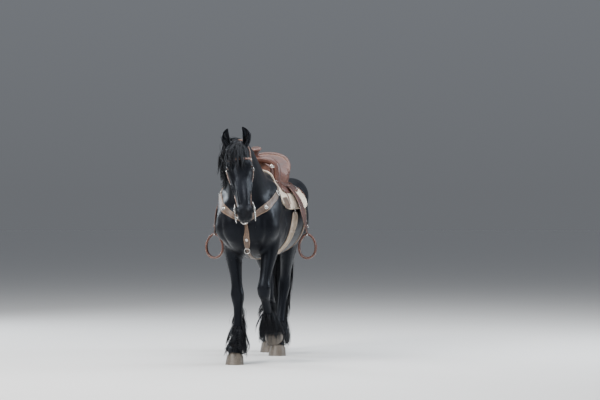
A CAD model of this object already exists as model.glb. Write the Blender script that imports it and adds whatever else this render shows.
import math

import bmesh
import bpy
import numpy as np
from mathutils import Matrix, Vector, noise
from mathutils.bvhtree import BVHTree

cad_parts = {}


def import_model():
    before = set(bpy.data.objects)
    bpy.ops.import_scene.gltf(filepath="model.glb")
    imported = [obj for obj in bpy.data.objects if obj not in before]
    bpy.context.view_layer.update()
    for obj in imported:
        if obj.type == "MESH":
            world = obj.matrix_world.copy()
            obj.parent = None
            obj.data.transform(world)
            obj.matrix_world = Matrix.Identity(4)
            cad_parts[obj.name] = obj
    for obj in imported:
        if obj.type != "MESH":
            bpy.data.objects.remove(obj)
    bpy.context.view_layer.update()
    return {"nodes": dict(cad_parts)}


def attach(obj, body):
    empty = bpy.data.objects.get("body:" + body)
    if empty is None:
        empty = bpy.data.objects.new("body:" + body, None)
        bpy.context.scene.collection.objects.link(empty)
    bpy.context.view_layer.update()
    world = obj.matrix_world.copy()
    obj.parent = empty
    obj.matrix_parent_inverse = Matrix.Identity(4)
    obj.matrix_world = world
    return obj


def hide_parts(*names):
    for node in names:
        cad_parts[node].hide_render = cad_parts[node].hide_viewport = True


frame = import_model()        # the horse and its saddlery, as packed
print("friesian: frame loaded")

rng = np.random.default_rng(23)
drawnScale = 1.60 / 1.43                  # the tables are drawn to a smaller scale than the real horse
standShift = np.array((0, 0.217, 0))


def world(points):
    return np.asarray(points, float) * drawnScale + standShift


# ---- shapes of the horse: the same tables that its solids come from

trunkRows = (
    (-0.805, 1.145, 1.085, 1.02, 0.07, 2, 2),
    (-0.785, 1.215, 1.085, 0.95, 0.15, 2, 2.2),
    (-0.735, 1.285, 1.085, 0.88, 0.205, 2, 2.4),
    (-0.65, 1.345, 1.085, 0.832, 0.228, 2, 2.4),
    (-0.55, 1.385, 1.085, 0.8, 0.24, 1.9, 2.3),
    (-0.45, 1.415, 1.085, 0.785, 0.245, 1.8, 2.2),
    (-0.36, 1.43, 1.085, 0.778, 0.252, 1.7, 2.1),
    (-0.24, 1.42, 1.085, 0.775, 0.266, 1.75, 2.1),
    (-0.11, 1.385, 1.095, 0.775, 0.284, 1.9, 2.1),
    (0.03, 1.36, 1.1, 0.782, 0.298, 2.05, 2.1),
    (0.15, 1.36, 1.11, 0.805, 0.308, 2.1, 2.1),
    (0.27, 1.38, 1.12, 0.855, 0.292, 2.1, 2.1),
    (0.38, 1.4, 1.145, 0.93, 0.272, 2.1, 2.1),
    (0.48, 1.4, 1.17, 0.99, 0.255, 2.1, 2.1),
    (0.57, 1.385, 1.185, 1.02, 0.228, 2.1, 2.1),
    (0.65, 1.35, 1.195, 1.05, 0.185, 2, 2),
    (0.705, 1.3, 1.195, 1.085, 0.12, 2, 2),
    (0.725, 1.245, 1.195, 1.135, 0.06, 2, 2),
)
neckRows = (
    (-0.24, 1.395, -0.58, 0.92, 0.200, 0.000),
    (-0.41, 1.455, -0.745, 1.035, 0.178, 0.000),
    (-0.55, 1.522, -0.795, 1.130, 0.150, 0.002),
    (-0.68, 1.588, -0.822, 1.215, 0.126, 0.003),
    (-0.81, 1.642, -0.848, 1.300, 0.108, 0.006),
    (-0.93, 1.668, -0.882, 1.370, 0.095, 0.010),
    (-1.03, 1.654, -0.925, 1.425, 0.086, 0.014),
    (-1.10, 1.606, -0.990, 1.465, 0.070, 0.016),
)
headRows = (
    (-0.020, -0.035, -0.085, -0.140, 0.045, 2.0, 2.0),
    (0.000, -0.004, -0.085, -0.175, 0.066, 2.2, 2.0),
    (0.050, 0.014, -0.085, -0.225, 0.080, 2.3, 2.1),
    (0.110, 0.023, -0.085, -0.262, 0.090, 2.5, 2.0),
    (0.175, 0.025, -0.080, -0.278, 0.096, 2.6, 2.0),
    (0.235, 0.020, -0.080, -0.262, 0.092, 2.5, 2.0),
    (0.300, 0.010, -0.085, -0.222, 0.077, 2.3, 2.1),
    (0.370, 0.003, -0.080, -0.180, 0.064, 2.3, 2.2),
    (0.440, -0.001, -0.075, -0.154, 0.055, 2.5, 2.2),
    (0.505, -0.003, -0.070, -0.141, 0.052, 2.5, 2.3),
    (0.555, -0.008, -0.066, -0.134, 0.054, 2.5, 2.3),
    (0.592, -0.022, -0.066, -0.122, 0.049, 2.4, 2.3),
    (0.612, -0.045, -0.070, -0.100, 0.028, 2.0, 2.0),
)
rightForeRows = (
    (0.140, -0.53, 1.13, 0.075, 0.135, 0.12),
    (0.150, -0.50, 1.03, 0.078, 0.135, 0.115),
    (0.148, -0.478, 0.90, 0.071, 0.106, 0.100),
    (0.138, -0.476, 0.78, 0.062, 0.082, 0.080),
    (0.122, -0.481, 0.665, 0.050, 0.060, 0.058),
    (0.113, -0.486, 0.580, 0.045, 0.048, 0.050),
    (0.109, -0.490, 0.525, 0.052, 0.052, 0.052),
    (0.106, -0.490, 0.478, 0.050, 0.050, 0.052),
    (0.105, -0.487, 0.430, 0.039, 0.037, 0.047),
    (0.105, -0.485, 0.360, 0.035, 0.034, 0.044),
    (0.106, -0.484, 0.290, 0.036, 0.035, 0.046),
    (0.107, -0.486, 0.238, 0.044, 0.043, 0.056),
    (0.109, -0.500, 0.190, 0.039, 0.037, 0.048),
    (0.111, -0.520, 0.145, 0.041, 0.038, 0.047),
    (0.113, -0.538, 0.100, 0.053, 0.050, 0.058),
    (0.114, -0.548, 0.062, 0.058, 0.054, 0.062),
)
leftForeRows = (
    (0.140, -0.54, 1.13, 0.075, 0.135, 0.12),
    (0.152, -0.53, 1.04, 0.078, 0.132, 0.118),
    (0.154, -0.540, 0.93, 0.071, 0.104, 0.100),
    (0.148, -0.575, 0.82, 0.062, 0.080, 0.080),
    (0.138, -0.618, 0.71, 0.050, 0.060, 0.058),
    (0.131, -0.650, 0.632, 0.045, 0.048, 0.050),
    (0.128, -0.668, 0.582, 0.052, 0.053, 0.050),
    (0.127, -0.655, 0.536, 0.050, 0.053, 0.048),
    (0.127, -0.622, 0.497, 0.039, 0.039, 0.046),
    (0.128, -0.577, 0.442, 0.035, 0.035, 0.044),
    (0.130, -0.533, 0.394, 0.036, 0.036, 0.046),
    (0.132, -0.496, 0.352, 0.044, 0.044, 0.055),
    (0.134, -0.460, 0.318, 0.039, 0.038, 0.047),
    (0.135, -0.424, 0.288, 0.041, 0.038, 0.047),
    (0.136, -0.390, 0.262, 0.053, 0.050, 0.057),
    (0.137, -0.364, 0.240, 0.058, 0.054, 0.060),
)
leftHindRows = (
    (0.125, 0.452, 1.185, 0.110, 0.210, 0.230),
    (0.140, 0.401, 1.080, 0.105, 0.200, 0.225),
    (0.137, 0.355, 0.985, 0.092, 0.165, 0.190),
    (0.125, 0.360, 0.870, 0.075, 0.128, 0.132),
    (0.105, 0.406, 0.760, 0.060, 0.090, 0.088),
    (0.086, 0.453, 0.665, 0.048, 0.062, 0.064),
    (0.073, 0.481, 0.600, 0.046, 0.053, 0.072),
    (0.067, 0.484, 0.538, 0.049, 0.052, 0.060),
    (0.061, 0.470, 0.476, 0.041, 0.043, 0.050),
    (0.055, 0.448, 0.400, 0.036, 0.037, 0.045),
    (0.051, 0.426, 0.322, 0.037, 0.037, 0.046),
    (0.048, 0.406, 0.252, 0.045, 0.044, 0.056),
    (0.046, 0.385, 0.202, 0.040, 0.038, 0.048),
    (0.044, 0.361, 0.154, 0.042, 0.038, 0.047),
    (0.043, 0.341, 0.105, 0.052, 0.049, 0.056),
    (0.043, 0.330, 0.066, 0.057, 0.053, 0.060),
)
rightHindRows = (
    (0.125, 0.452, 1.185, 0.110, 0.210, 0.230),
    (0.143, 0.438, 1.080, 0.105, 0.205, 0.215),
    (0.143, 0.424, 0.985, 0.092, 0.170, 0.178),
    (0.134, 0.461, 0.870, 0.074, 0.125, 0.125),
    (0.121, 0.536, 0.765, 0.058, 0.085, 0.085),
    (0.110, 0.611, 0.680, 0.047, 0.061, 0.062),
    (0.103, 0.658, 0.618, 0.045, 0.053, 0.067),
    (0.099, 0.680, 0.556, 0.048, 0.052, 0.060),
    (0.096, 0.693, 0.490, 0.040, 0.043, 0.050),
    (0.093, 0.706, 0.412, 0.035, 0.037, 0.045),
    (0.091, 0.718, 0.332, 0.036, 0.037, 0.046),
    (0.090, 0.728, 0.262, 0.044, 0.044, 0.056),
    (0.090, 0.718, 0.210, 0.039, 0.038, 0.048),
    (0.090, 0.698, 0.158, 0.041, 0.038, 0.047),
    (0.090, 0.678, 0.106, 0.051, 0.049, 0.056),
    (0.090, 0.667, 0.066, 0.056, 0.053, 0.060),
)
legTables = {
    "right_fore": (rightForeRows, -1),
    "left_fore": (leftForeRows, 1),
    "right_hind": (rightHindRows, -1),
    "left_hind": (leftHindRows, 1),
}
# rounded masses on each side: middle, radii, pitch in degrees
bodyMasses = (
    ((0.150, -0.585, 1.145), (0.090, 0.130, 0.240), -24),     # shoulder
    ((0.160, -0.640, 1.030), (0.085, 0.135, 0.120), 20),      # upper arm
    ((0.085, -0.740, 1.035), (0.095, 0.085, 0.140), 8),       # breast
    ((0.178, -0.440, 1.045), (0.070, 0.125, 0.145), -30),     # triceps
    ((0.085, -0.440, 1.305), (0.080, 0.120, 0.130), -24),     # blade
    ((0.200, 0.305, 1.260), (0.060, 0.080, 0.060), 0),        # hip bone
    ((0.120, 0.440, 1.240), (0.150, 0.235, 0.155), 8),        # croup
    ((0.115, 0.595, 1.145), (0.115, 0.125, 0.210), 12),       # buttock
    ((0.185, 0.460, 1.075), (0.080, 0.180, 0.200), 10),       # thigh
    ((0.175, 0.270, 0.990), (0.075, 0.095, 0.125), 20),       # stifle
    ((0.150, -0.020, 1.105), (0.160, 0.340, 0.215), 0),       # ribs
)
faceMasses = (
    ((0.046, -0.165, 0.175), (0.042, 0.105, 0.115), 0),       # cheek
    ((0.040, -0.232, 0.155), (0.030, 0.045, 0.090), 20),      # edge of the jaw
    ((0.068, -0.022, 0.192), (0.036, 0.033, 0.040), 0),       # eye
    ((0.064, 0.002, 0.172), (0.030, 0.022, 0.040), -20),      # brow
    ((0.060, -0.066, 0.300), (0.020, 0.014, 0.100), 0),       # facial crest
    ((0.022, -0.010, 0.340), (0.026, 0.018, 0.180), 0),       # nose bone
    ((0.036, -0.030, 0.552), (0.024, 0.028, 0.045), 0),       # nostril
    ((0.022, -0.056, 0.592), (0.032, 0.036, 0.034), 0),       # upper lip
    ((0.012, -0.120, 0.552), (0.028, 0.026, 0.042), 0),       # chin
    ((0.012, -0.102, 0.594), (0.030, 0.024, 0.024), 0),       # lower lip
)
headPlan = {"poll": (0.010, -1.085, 1.628), "slope": 26, "lean": 7.5, "turn": 8, "length": 0.95}
headFrame = (
    Matrix.Translation(headPlan["poll"])
    @ Matrix.Rotation(math.radians(headPlan["turn"]), 4, "Z")
    @ Matrix.Rotation(-math.radians(headPlan["slope"]), 4, "X")
    @ Matrix.Rotation(-math.radians(headPlan["lean"]), 4, "Y")
    @ Matrix.Diagonal((1, -1, -headPlan["length"], 1))
)
toHead = headFrame.inverted()


def onHead(across, out, down):
    return headFrame @ Vector((across, out, down))


def easedRows(rows, perSpan):
    keys = np.array(rows, float)          # a smooth curve through the rows
    more = np.vstack([2 * keys[0] - keys[1], keys, 2 * keys[-1] - keys[-2]])
    found = []
    for i in range(len(keys) - 1):
        p0, p1, p2, p3 = more[i: i + 4]
        for k in range(perSpan):
            t = k / perSpan
            found.append(p1 + 0.5 * t * (p2 - p0) + t * t * (p0 - 2.5 * p1 + 2 * p2 - 0.5 * p3)
                         + t**3 * (1.5 * (p1 - p2) + 0.5 * (p3 - p0)))
    found.append(keys[-1])
    return np.array(found)


def section(centre, across, up, width, rise, drop, roundUp=2.0, roundDown=2.0, sides=40):
    angle = np.arange(sides) * math.tau / sides
    c, s = np.cos(angle), np.sin(angle)
    power = np.where(s >= 0, 2 / roundUp, 2 / roundDown)
    x = width * np.sign(c) * np.abs(c) ** power
    z = np.where(s >= 0, rise, drop) * np.sign(s) * np.abs(s) ** power
    return np.array(centre, float) + x[:, None] * np.array(across, float) + z[:, None] * np.array(up, float)


def addLoft(bm, loops, closed=False):
    rings = [[bm.verts.new(p) for p in loop] for loop in loops]
    count = len(rings[0])
    faces = []
    for a, b in zip(rings, rings[1:] + rings[:1] if closed else rings[1:]):
        for i in range(count):
            j = (i + 1) % count
            faces.append(bm.faces.new((a[i], a[j], b[j], b[i])))
    if not closed:
        faces.append(bm.faces.new(rings[0][::-1]))
        faces.append(bm.faces.new(rings[-1]))
    bmesh.ops.recalc_face_normals(bm, faces=faces)


def addBall(bm, place):
    made = bmesh.ops.create_uvsphere(bm, u_segments=28, v_segments=14, radius=1)
    bmesh.ops.transform(bm, matrix=place, verts=made["verts"])


def trunkLoops():
    for y, top, widest, bottom, width, above, below in easedRows(trunkRows, 4):
        yield section((0, y, widest), (1, 0, 0), (0, 0, 1), width, top - widest, widest - bottom, above, below)


def neckLoops():
    for crestY, crestZ, gulletY, gulletZ, width, bend in easedRows(neckRows, 5):
        crest, gullet = np.array((bend, crestY, crestZ)), np.array((bend, gulletY, gulletZ))
        depth = np.linalg.norm(crest - gullet)
        up = (crest - gullet) / depth
        yield section(crest - up * depth * 0.56, (1, 0, 0), up, width, depth * 0.56, depth * 0.44, 1.75, 2.2)


def headLoops():
    for down, face, widest, jaw, width, front, behind in easedRows(headRows, 5):
        centre = onHead(0, widest, down)
        yield section(centre, onHead(1, widest, down) - centre, onHead(0, widest + 1, down) - centre, width,
                      face - widest, widest - jaw, front, behind)


def legLoops(rows, side):
    rows = easedRows(rows, 3)
    rows = np.vstack([rows, rows[-1] + (rows[-1] - rows[-2]) * 4])
    for i, (x, y, z, width, front, back) in enumerate(rows):
        before, after = rows[max(i - 1, 0)], rows[min(i + 1, len(rows) - 1)]
        along = Vector((0, after[1] - before[1], after[2] - before[2])).normalized()
        yield section((x * side, y, z), (1, 0, 0), (0, along.z, -along.y), width, front, back, 2.2, 2.2, 24)


def newObject(name, mesh):
    obj = bpy.data.objects.new(name, mesh)
    bpy.context.scene.collection.objects.link(obj)
    return obj


def meshOf(bm, name="piece"):
    mesh = bpy.data.meshes.new(name)
    bm.to_mesh(mesh)
    bm.free()
    return mesh


def points(mesh):
    found = np.empty(len(mesh.vertices) * 3)
    mesh.vertices.foreach_get("co", found)
    return found.reshape(-1, 3)


def normals(mesh):
    found = np.empty(len(mesh.vertices) * 3)
    mesh.vertices.foreach_get("normal", found)
    return found.reshape(-1, 3)


def setPoints(mesh, found):
    mesh.vertices.foreach_set("co", np.asarray(found, float).ravel())
    mesh.update()


def edgesOf(mesh):
    found = np.empty(len(mesh.edges) * 2, int)
    mesh.edges.foreach_get("vertices", found)
    return found.reshape(-1, 2)


def relaxed(found, edges, rounds):
    found = found.copy()                  # rounds: how often each point is smoothed
    first, second = edges.T
    degree = np.bincount(edges.ravel(), minlength=len(found))
    for turn in range(int(rounds.max())):
        mean = np.stack([np.bincount(first, found[second, k], len(found))
                         + np.bincount(second, found[first, k], len(found)) for k in range(3)], 1)
        moved = rounds > turn
        found[moved] += 0.5 * (mean[moved] / degree[moved, None] - found[moved])
    return found


def ramp(values, low, high):
    t = np.clip((values - low) / (high - low), 0, 1)
    return t * t * (3 - 2 * t)


# ---- the skin: one surface over trunk, neck, head and legs

skinPlan = {
    "voxel": 0.0085,
    "coatDepth": 0.0025,        # how far inside the solids it lies
    "trunkRounds": 55,          # smoothing, from the trunk down to the feet
    "upperLegRounds": 22,
    "lowerLegRounds": 7,
    "headRounds": 4,
}
hoofPlan = {
    "height": 0.066,
    "liftedPitch": 60,          # degrees that the raised foot hangs back
    "coronetRise": 0.28,
    # up, forward, half-width, front, back
    "rings": ((0.000, 0.000, 0.0575, 0.054, 0.059), (-0.006, 0.002, 0.0600, 0.056, 0.060),
              (-0.055, 0.020, 0.0670, 0.062, 0.064), (-0.066, 0.024, 0.0685, 0.064, 0.064)),
}


def hoofFrame(leg):
    rows, side = legTables[leg]
    x, y, z = rows[-1][:3]
    lifted = leg == "left_fore"
    pitch = math.radians(hoofPlan["liftedPitch"]) if lifted else 0
    return Matrix.Translation((x * side, y, z if lifted else hoofPlan["height"])) @ Matrix.Rotation(pitch, 4, "X")


def rawSkin():
    bm = bmesh.new()
    for loops in (trunkLoops(), neckLoops(), headLoops(), *(legLoops(*table) for table in legTables.values())):
        addLoft(bm, list(loops))
    for middle, radii, pitch in bodyMasses:
        for side in (-1, 1):
            addBall(bm, Matrix.Translation((middle[0] * side, *middle[1:])) @ Matrix.Rotation(math.radians(pitch), 4, "X")
                    @ Matrix.Diagonal((*radii, 1)))
    for middle, radii, pitch in faceMasses:
        for side in (-1, 1):
            addBall(bm, headFrame @ Matrix.Translation((middle[0] * side, *middle[1:]))
                    @ Matrix.Rotation(math.radians(pitch), 4, "X") @ Matrix.Diagonal((*radii, 1)))
    bmesh.ops.recalc_face_normals(bm, faces=bm.faces)
    mesh = meshOf(bm)
    setPoints(mesh, world(points(mesh)))
    obj = newObject("rawSkin", mesh)
    voxels = obj.modifiers.new("voxels", "REMESH")
    voxels.mode = "VOXEL"
    voxels.voxel_size = skinPlan["voxel"]
    bpy.context.view_layer.update()
    skin = bpy.data.meshes.new_from_object(obj.evaluated_get(bpy.context.evaluated_depsgraph_get()))
    bpy.data.objects.remove(obj)
    return skin


def roundsFor(found):
    z, y = found[:, 2], found[:, 1]
    rounds = skinPlan["lowerLegRounds"] + ramp(z, 0.62, 0.78) * (skinPlan["upperLegRounds"] - skinPlan["lowerLegRounds"])
    rounds += ramp(z, 1.02, 1.22) * (skinPlan["trunkRounds"] - skinPlan["upperLegRounds"])
    onFace = 1 - ramp(y, -0.98, -0.84)
    return rounds + onFace * (skinPlan["headRounds"] - rounds)


def cutAtCoronets(bm):
    for leg in legTables:
        place = hoofFrame(leg)
        centre = Vector(world(place.translation))
        down = place.to_3x3() @ Vector((0, -hoofPlan["coronetRise"], -1)).normalized()
        near = [f for f in bm.faces if (f.calc_center_median() - centre).length < 0.14]
        geometry = list({v for f in near for v in f.verts}) + list({e for f in near for e in f.edges}) + near
        inside = centre - down * 0.012
        bmesh.ops.bisect_plane(bm, geom=geometry, plane_co=inside, plane_no=down, clear_outer=True)
        rim = [e for e in bm.edges if e.is_boundary and (e.verts[0].co - centre).length < 0.16]
        bmesh.ops.holes_fill(bm, edges=rim, sides=0)


def refined(bm, chosen):
    edges = {e for f in bm.faces if chosen(f.calc_center_median()) for e in f.edges}
    bmesh.ops.subdivide_edges(bm, edges=list(edges), cuts=1, use_grid_fill=True, use_single_edge=False)


def faceDetailNear(point):
    across, out, down = toHead @ Vector((point - Vector(standShift)) / drawnScale)
    nearEye = abs(abs(across) - 0.09) < 0.04 and math.hypot(out + 0.018, down - 0.192) < 0.055
    nearNostril = abs(abs(across) - 0.05) < 0.035 and math.hypot(out + 0.027, down - 0.556) < 0.040
    nearMouth = down > 0.49 and abs(out + 0.088) < 0.032
    return nearEye or nearNostril or nearMouth


def nearLids(point):
    across, out, down = toHead @ Vector((point - Vector(standShift)) / drawnScale)
    return abs(abs(across) - 0.09) < 0.035 and math.hypot(out + 0.014, (down - 0.194) * 0.7) < 0.0185


skinMesh = rawSkin()
skinEdges = edgesOf(skinMesh)
setPoints(skinMesh, relaxed(points(skinMesh), skinEdges, roundsFor(points(skinMesh))))
bm = bmesh.new()
bm.from_mesh(skinMesh)
cutAtCoronets(bm)
refined(bm, lambda p: p.y < -0.86 and p.z > 1.05 and p.y + 0.35 * (p.z - 1.5) < -0.80)
refined(bm, faceDetailNear)
refined(bm, nearLids)
bmesh.ops.triangulate(bm, faces=[f for f in bm.faces if len(f.verts) > 4])
bm.to_mesh(skinMesh)
bm.free()
print("friesian: skin of", len(skinMesh.vertices), "points")


def headMeasures(found):
    turn = np.array(toHead)
    return ((found - standShift) / drawnScale) @ turn[:3, :3].T + turn[:3, 3]


def headWays(found):
    return found @ np.array(headFrame)[:3, :3].T * drawnScale


def treeOf(*meshes):
    corners, faces = [], []
    for mesh in meshes:
        shift = len(corners)
        corners += [v.co.copy() for v in mesh.vertices]
        faces += [[i + shift for i in f.vertices] for f in mesh.polygons]
    return BVHTree.FromPolygons(corners, faces)


def alongLine(found, line):
    best, share = np.full(len(found), 9.0), np.zeros(len(found))
    for i, (a, b) in enumerate(zip(line, line[1:])):
        span = b - a
        t = np.clip(((found - a) @ span) / (span @ span), 0, 1)
        away = np.linalg.norm(found - a - t[:, None] * span, axis=1)
        nearer = away < best
        best[nearer], share[nearer] = away[nearer], (i + t[nearer]) / (len(line) - 1)
    return best, share


# Grooves and ridges that muscles, bones and veins make: points, width and height in metres, below zero for a groove.
bodyReliefs = (
    (((0.080, -0.93, 1.43), (0.115, -0.85, 1.30), (0.135, -0.80, 1.16)), 0.020, -0.0080),         # throat groove
    (((0.075, -0.97, 1.55), (0.120, -0.80, 1.42), (0.170, -0.66, 1.28), (0.215, -0.60, 1.14)), 0.035, 0.0050),
    (((0.100, -0.42, 1.40), (0.190, -0.50, 1.26), (0.225, -0.60, 1.10)), 0.030, 0.0060),          # front of the shoulder
    (((0.120, -0.36, 1.38), (0.215, -0.42, 1.24), (0.240, -0.50, 1.10)), 0.024, -0.0050),
    (((0.245, -0.46, 1.12), (0.235, -0.37, 1.02), (0.200, -0.36, 0.93)), 0.020, -0.0080),         # behind the elbow
    (((0.215, -0.62, 1.06), (0.215, -0.56, 0.98), (0.205, -0.50, 0.92)), 0.016, -0.0060),
    (((0.225, -0.34, 0.92), (0.245, -0.20, 0.93), (0.255, -0.05, 0.95), (0.262, 0.10, 0.99)), 0.006, 0.0022),
    (((0.000, -0.80, 1.12), (0.000, -0.79, 0.99), (0.000, -0.72, 0.88)), 0.018, -0.0140),         # between the breasts
    (((0.150, -0.77, 1.06), (0.135, -0.73, 0.95), (0.110, -0.66, 0.86)), 0.018, -0.0080),
    (((0.240, 0.30, 1.20), (0.245, 0.25, 1.08), (0.200, 0.20, 0.94)), 0.030, -0.0090),            # flank
    (((0.215, 0.28, 1.32), (0.220, 0.31, 1.28)), 0.030, 0.0080),                                  # hip bone
    (((0.130, 0.62, 1.32), (0.190, 0.60, 1.16), (0.175, 0.54, 0.98)), 0.018, -0.0080),            # back of the thigh
    (((0.150, 0.52, 1.34), (0.230, 0.47, 1.16), (0.200, 0.38, 0.97)), 0.024, -0.0050),
    (((0.160, 0.30, 0.98), (0.150, 0.28, 0.93), (0.130, 0.29, 0.88)), 0.018, 0.0060),             # knee cap
    (((0.000, 0.30, 1.42), (0.000, 0.45, 1.43), (0.000, 0.62, 1.38)), 0.026, -0.0060),            # along the croup
    (((0.215, -0.70, 1.14), (0.190, -0.74, 1.06)), 0.030, 0.0060),                                # point of the shoulder
    (((0.086, -0.90, 1.38), (0.090, -0.93, 1.50)), 0.008, -0.0028),                               # creases at the throat
    (((0.096, -0.87, 1.37), (0.100, -0.90, 1.49)), 0.008, -0.0024),
    (((0.105, -0.84, 1.36), (0.108, -0.87, 1.47)), 0.008, -0.0018),
)
# the same on the head, in head measures: across, out of the face, down the face
faceReliefs = (
    (((0.078, -0.072, 0.235), (0.068, -0.066, 0.300), (0.058, -0.064, 0.370)), 0.009, 0.0040),    # facial crest
    (((0.080, -0.100, 0.240), (0.066, -0.094, 0.320), (0.056, -0.090, 0.390)), 0.012, -0.0040),
    (((0.038, 0.006, 0.260), (0.034, 0.002, 0.360), (0.030, -0.002, 0.450)), 0.007, 0.0028),      # nose bone
    (((0.056, -0.022, 0.280), (0.048, -0.020, 0.370), (0.044, -0.022, 0.450)), 0.012, -0.0040),
    (((0.084, -0.030, 0.245), (0.066, -0.034, 0.300), (0.058, -0.044, 0.360), (0.052, -0.050, 0.420)), 0.0035, 0.0016),
    (((0.066, -0.034, 0.300), (0.056, -0.024, 0.345), (0.048, -0.022, 0.400)), 0.0030, 0.0013),
    (((0.058, -0.044, 0.360), (0.054, -0.062, 0.400), (0.050, -0.072, 0.440)), 0.0030, 0.0012),
    (((0.050, 0.004, 0.118), (0.056, 0.002, 0.138)), 0.018, -0.0070),                             # hollow over the eye
    (((0.080, -0.110, 0.075), (0.090, -0.150, 0.100), (0.090, -0.200, 0.150)), 0.014, -0.0040),
    (((0.088, -0.140, 0.110), (0.092, -0.150, 0.170), (0.084, -0.170, 0.230)), 0.030, 0.0040),    # cheek
    (((0.062, -0.236, 0.250), (0.050, -0.205, 0.310), (0.044, -0.170, 0.380)), 0.010, -0.0030),
    (((0.010, -0.134, 0.520), (0.030, -0.128, 0.520)), 0.008, -0.0030),                           # over the chin
    (((0.020, -0.020, 0.605), (0.000, -0.024, 0.610)), 0.006, 0.0015),
)
legReliefs = (     # on each leg: rows from and to, how far round to the back, width, height
    (6.6, 7.4, 1.00, 0.013, 0.0070),      # back of the knee, point of the hock
    (8.0, 10.6, 0.42, 0.006, -0.0060),    # between bone and tendons
    (8.2, 10.4, 0.95, 0.008, 0.0030),     # tendons
    (5.8, 6.6, -0.60, 0.014, 0.0040),
    (3.0, 5.0, 0.25, 0.016, -0.0050),     # down the forearm and gaskin
)


def reliefLines():
    for line, width, height in bodyReliefs:
        for side in (-1, 1) if line[0][0] else (1,):
            yield world([(x * side, y, z) for x, y, z in line]), width, height
    for line, width, height in faceReliefs:
        for side in (-1, 1):
            yield world([onHead(x * side, y, z) for x, y, z in line]), width, height
    for rows, side in legTables.values():
        keys = np.array(rows)
        for start, stop, back, width, height in legReliefs:
            shares = np.linspace(start, stop, 5)
            x, y, z, half, ahead, behind = (np.interp(shares, range(len(keys)), keys[:, k]) for k in range(6))
            for face in (-1, 1) if abs(back) < 0.9 else (0,):
                out = face * half * math.sqrt(max(1 - back * back, 0.05))
                yield world(np.stack([x * side + out, y + back * (behind if back > 0 else ahead), z], 1)), width, height


eyePlan = {"at": (0.0715, -0.0225, 0.192), "radius": 0.0220, "middle": (-0.014, 0.194), "long": 0.0200, "high": 0.0098,
           "tilt": 18, "lid": 0.0030, "rim": 0.0020, "deepest": 0.010}
nostrilPlan = {"middle": (-0.027, 0.556), "long": 0.0200, "high": 0.0100, "tilt": -25, "bend": 10, "deep": 0.026,
               "rim": 0.0034}
mouthPlan = {"corner": (-0.098, 0.505), "front": (-0.080, 0.600), "width": 0.0020, "deep": 0.0050, "lips": 0.0024}


def slit(local, plan):
    turn = math.radians(plan["tilt"])
    out, down = local[:, 1] - plan["middle"][0], local[:, 2] - plan["middle"][1]
    u = out * math.sin(turn) + down * math.cos(turn)
    v = out * math.cos(turn) - down * math.sin(turn) + plan.get("bend", 0) * u * u
    return np.hypot(u / plan["long"], v / plan["high"]), v


def openEyes(local):
    for side in (-1, 1):
        across = local[:, 0] * side
        r, v = slit(local, eyePlan)
        near = (across > 0.045) & (r < 3)
        ball = eyePlan["at"][0] + np.sqrt(np.clip(
            eyePlan["radius"]**2 - (local[:, 1] - eyePlan["at"][1])**2 - (local[:, 2] - eyePlan["at"][2])**2, 1e-6, 1))
        lid = np.maximum(ball + eyePlan["lid"], across - eyePlan["deepest"])
        hold = np.exp(-(np.clip(r - 1, 0, 9) / 0.42)**2)
        level = across + hold * (lid - across) + eyePlan["rim"] * np.exp(-((r - 1.14) / 0.12)**2)
        level -= 0.0020 * np.exp(-((r - 1.62) / 0.13)**2) * (v > 0)       # crease of the upper lid
        level -= 0.0012 * np.exp(-((r - 1.50) / 0.12)**2) * (v < 0)
        level += 0.0016 * np.exp(-((r - 1.95) / 0.20)**2) * (v > 0)
        inside = ramp(1 - r, 0.0, 0.10)
        level += inside * (np.minimum(ball - 0.0035, level) - level)
        local[near, 0] = (level * side)[near]


def openNostrils(local):
    for side in (-1, 1):
        r, v = slit(local, nostrilPlan)
        near = (local[:, 0] * side > 0.018) & (r < 3) & (local[:, 1] > -0.075)
        deep = nostrilPlan["deep"] * np.clip(1 - r * r, 0, 1)**0.6
        rim = nostrilPlan["rim"] * np.exp(-((r - 1.22) / 0.24)**2)
        way = np.array((-0.80 * side, -0.10, -0.60))
        outward = np.array((0.90 * side, 0.35, 0.15))
        local[near] += (deep[:, None] * way + rim[:, None] * outward)[near]


def partLips(local, out):
    corner, front = np.array(mouthPlan["corner"]), np.array(mouthPlan["front"])
    span = front - corner
    place = local[:, 1:] - corner
    share = np.clip((place @ span) / (span @ span), 0, 1.4)
    off = place - share[:, None] * span
    away = np.linalg.norm(off, axis=1)
    near = (local[:, 2] > 0.48) & (away < 0.03)
    fade = np.clip(share * 8 + 0.2, 0, 1)
    push = -mouthPlan["deep"] * np.exp(-(away / mouthPlan["width"])**2)
    push += mouthPlan["lips"] * np.exp(-((away - 0.0075) / 0.0045)**2)
    local[near] += (out * (push * fade)[:, None])[near]


skinTree = treeOf(skinMesh)
found, out = points(skinMesh), normals(skinMesh)
found -= out * skinPlan["coatDepth"]
raised = np.zeros(len(found))
for line, width, height in reliefLines():
    line = np.array([skinTree.find_nearest(Vector(p))[0] for p in line])
    away, share = alongLine(found, line)
    raised += height * np.exp(-(away / width)**2) * np.sqrt(np.sin(math.pi * np.clip(share, 0.03, 0.97)))
found += out * raised[:, None]
face = (found[:, 1] < -0.80) & (found[:, 2] > 1.05)
local = headMeasures(found[face])
turned = out[face] @ np.linalg.inv(np.array(headFrame)[:3, :3]).T
turned /= np.linalg.norm(turned, axis=1)[:, None]
partLips(local, turned)
openNostrils(local)
openEyes(local)
turn = np.array(headFrame)
found[face] = world(local @ turn[:3, :3].T + turn[:3, 3])
lidRounds = np.zeros(len(found))
lidRounds[np.flatnonzero(face)[np.minimum(*(slit(local, plan)[0] for plan in (eyePlan, nostrilPlan))) < 1.8]] = 2
found = relaxed(found, edgesOf(skinMesh), lidRounds)
setPoints(skinMesh, found)
skinMesh.shade_smooth()
skin = newObject("skin", skinMesh)
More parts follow.
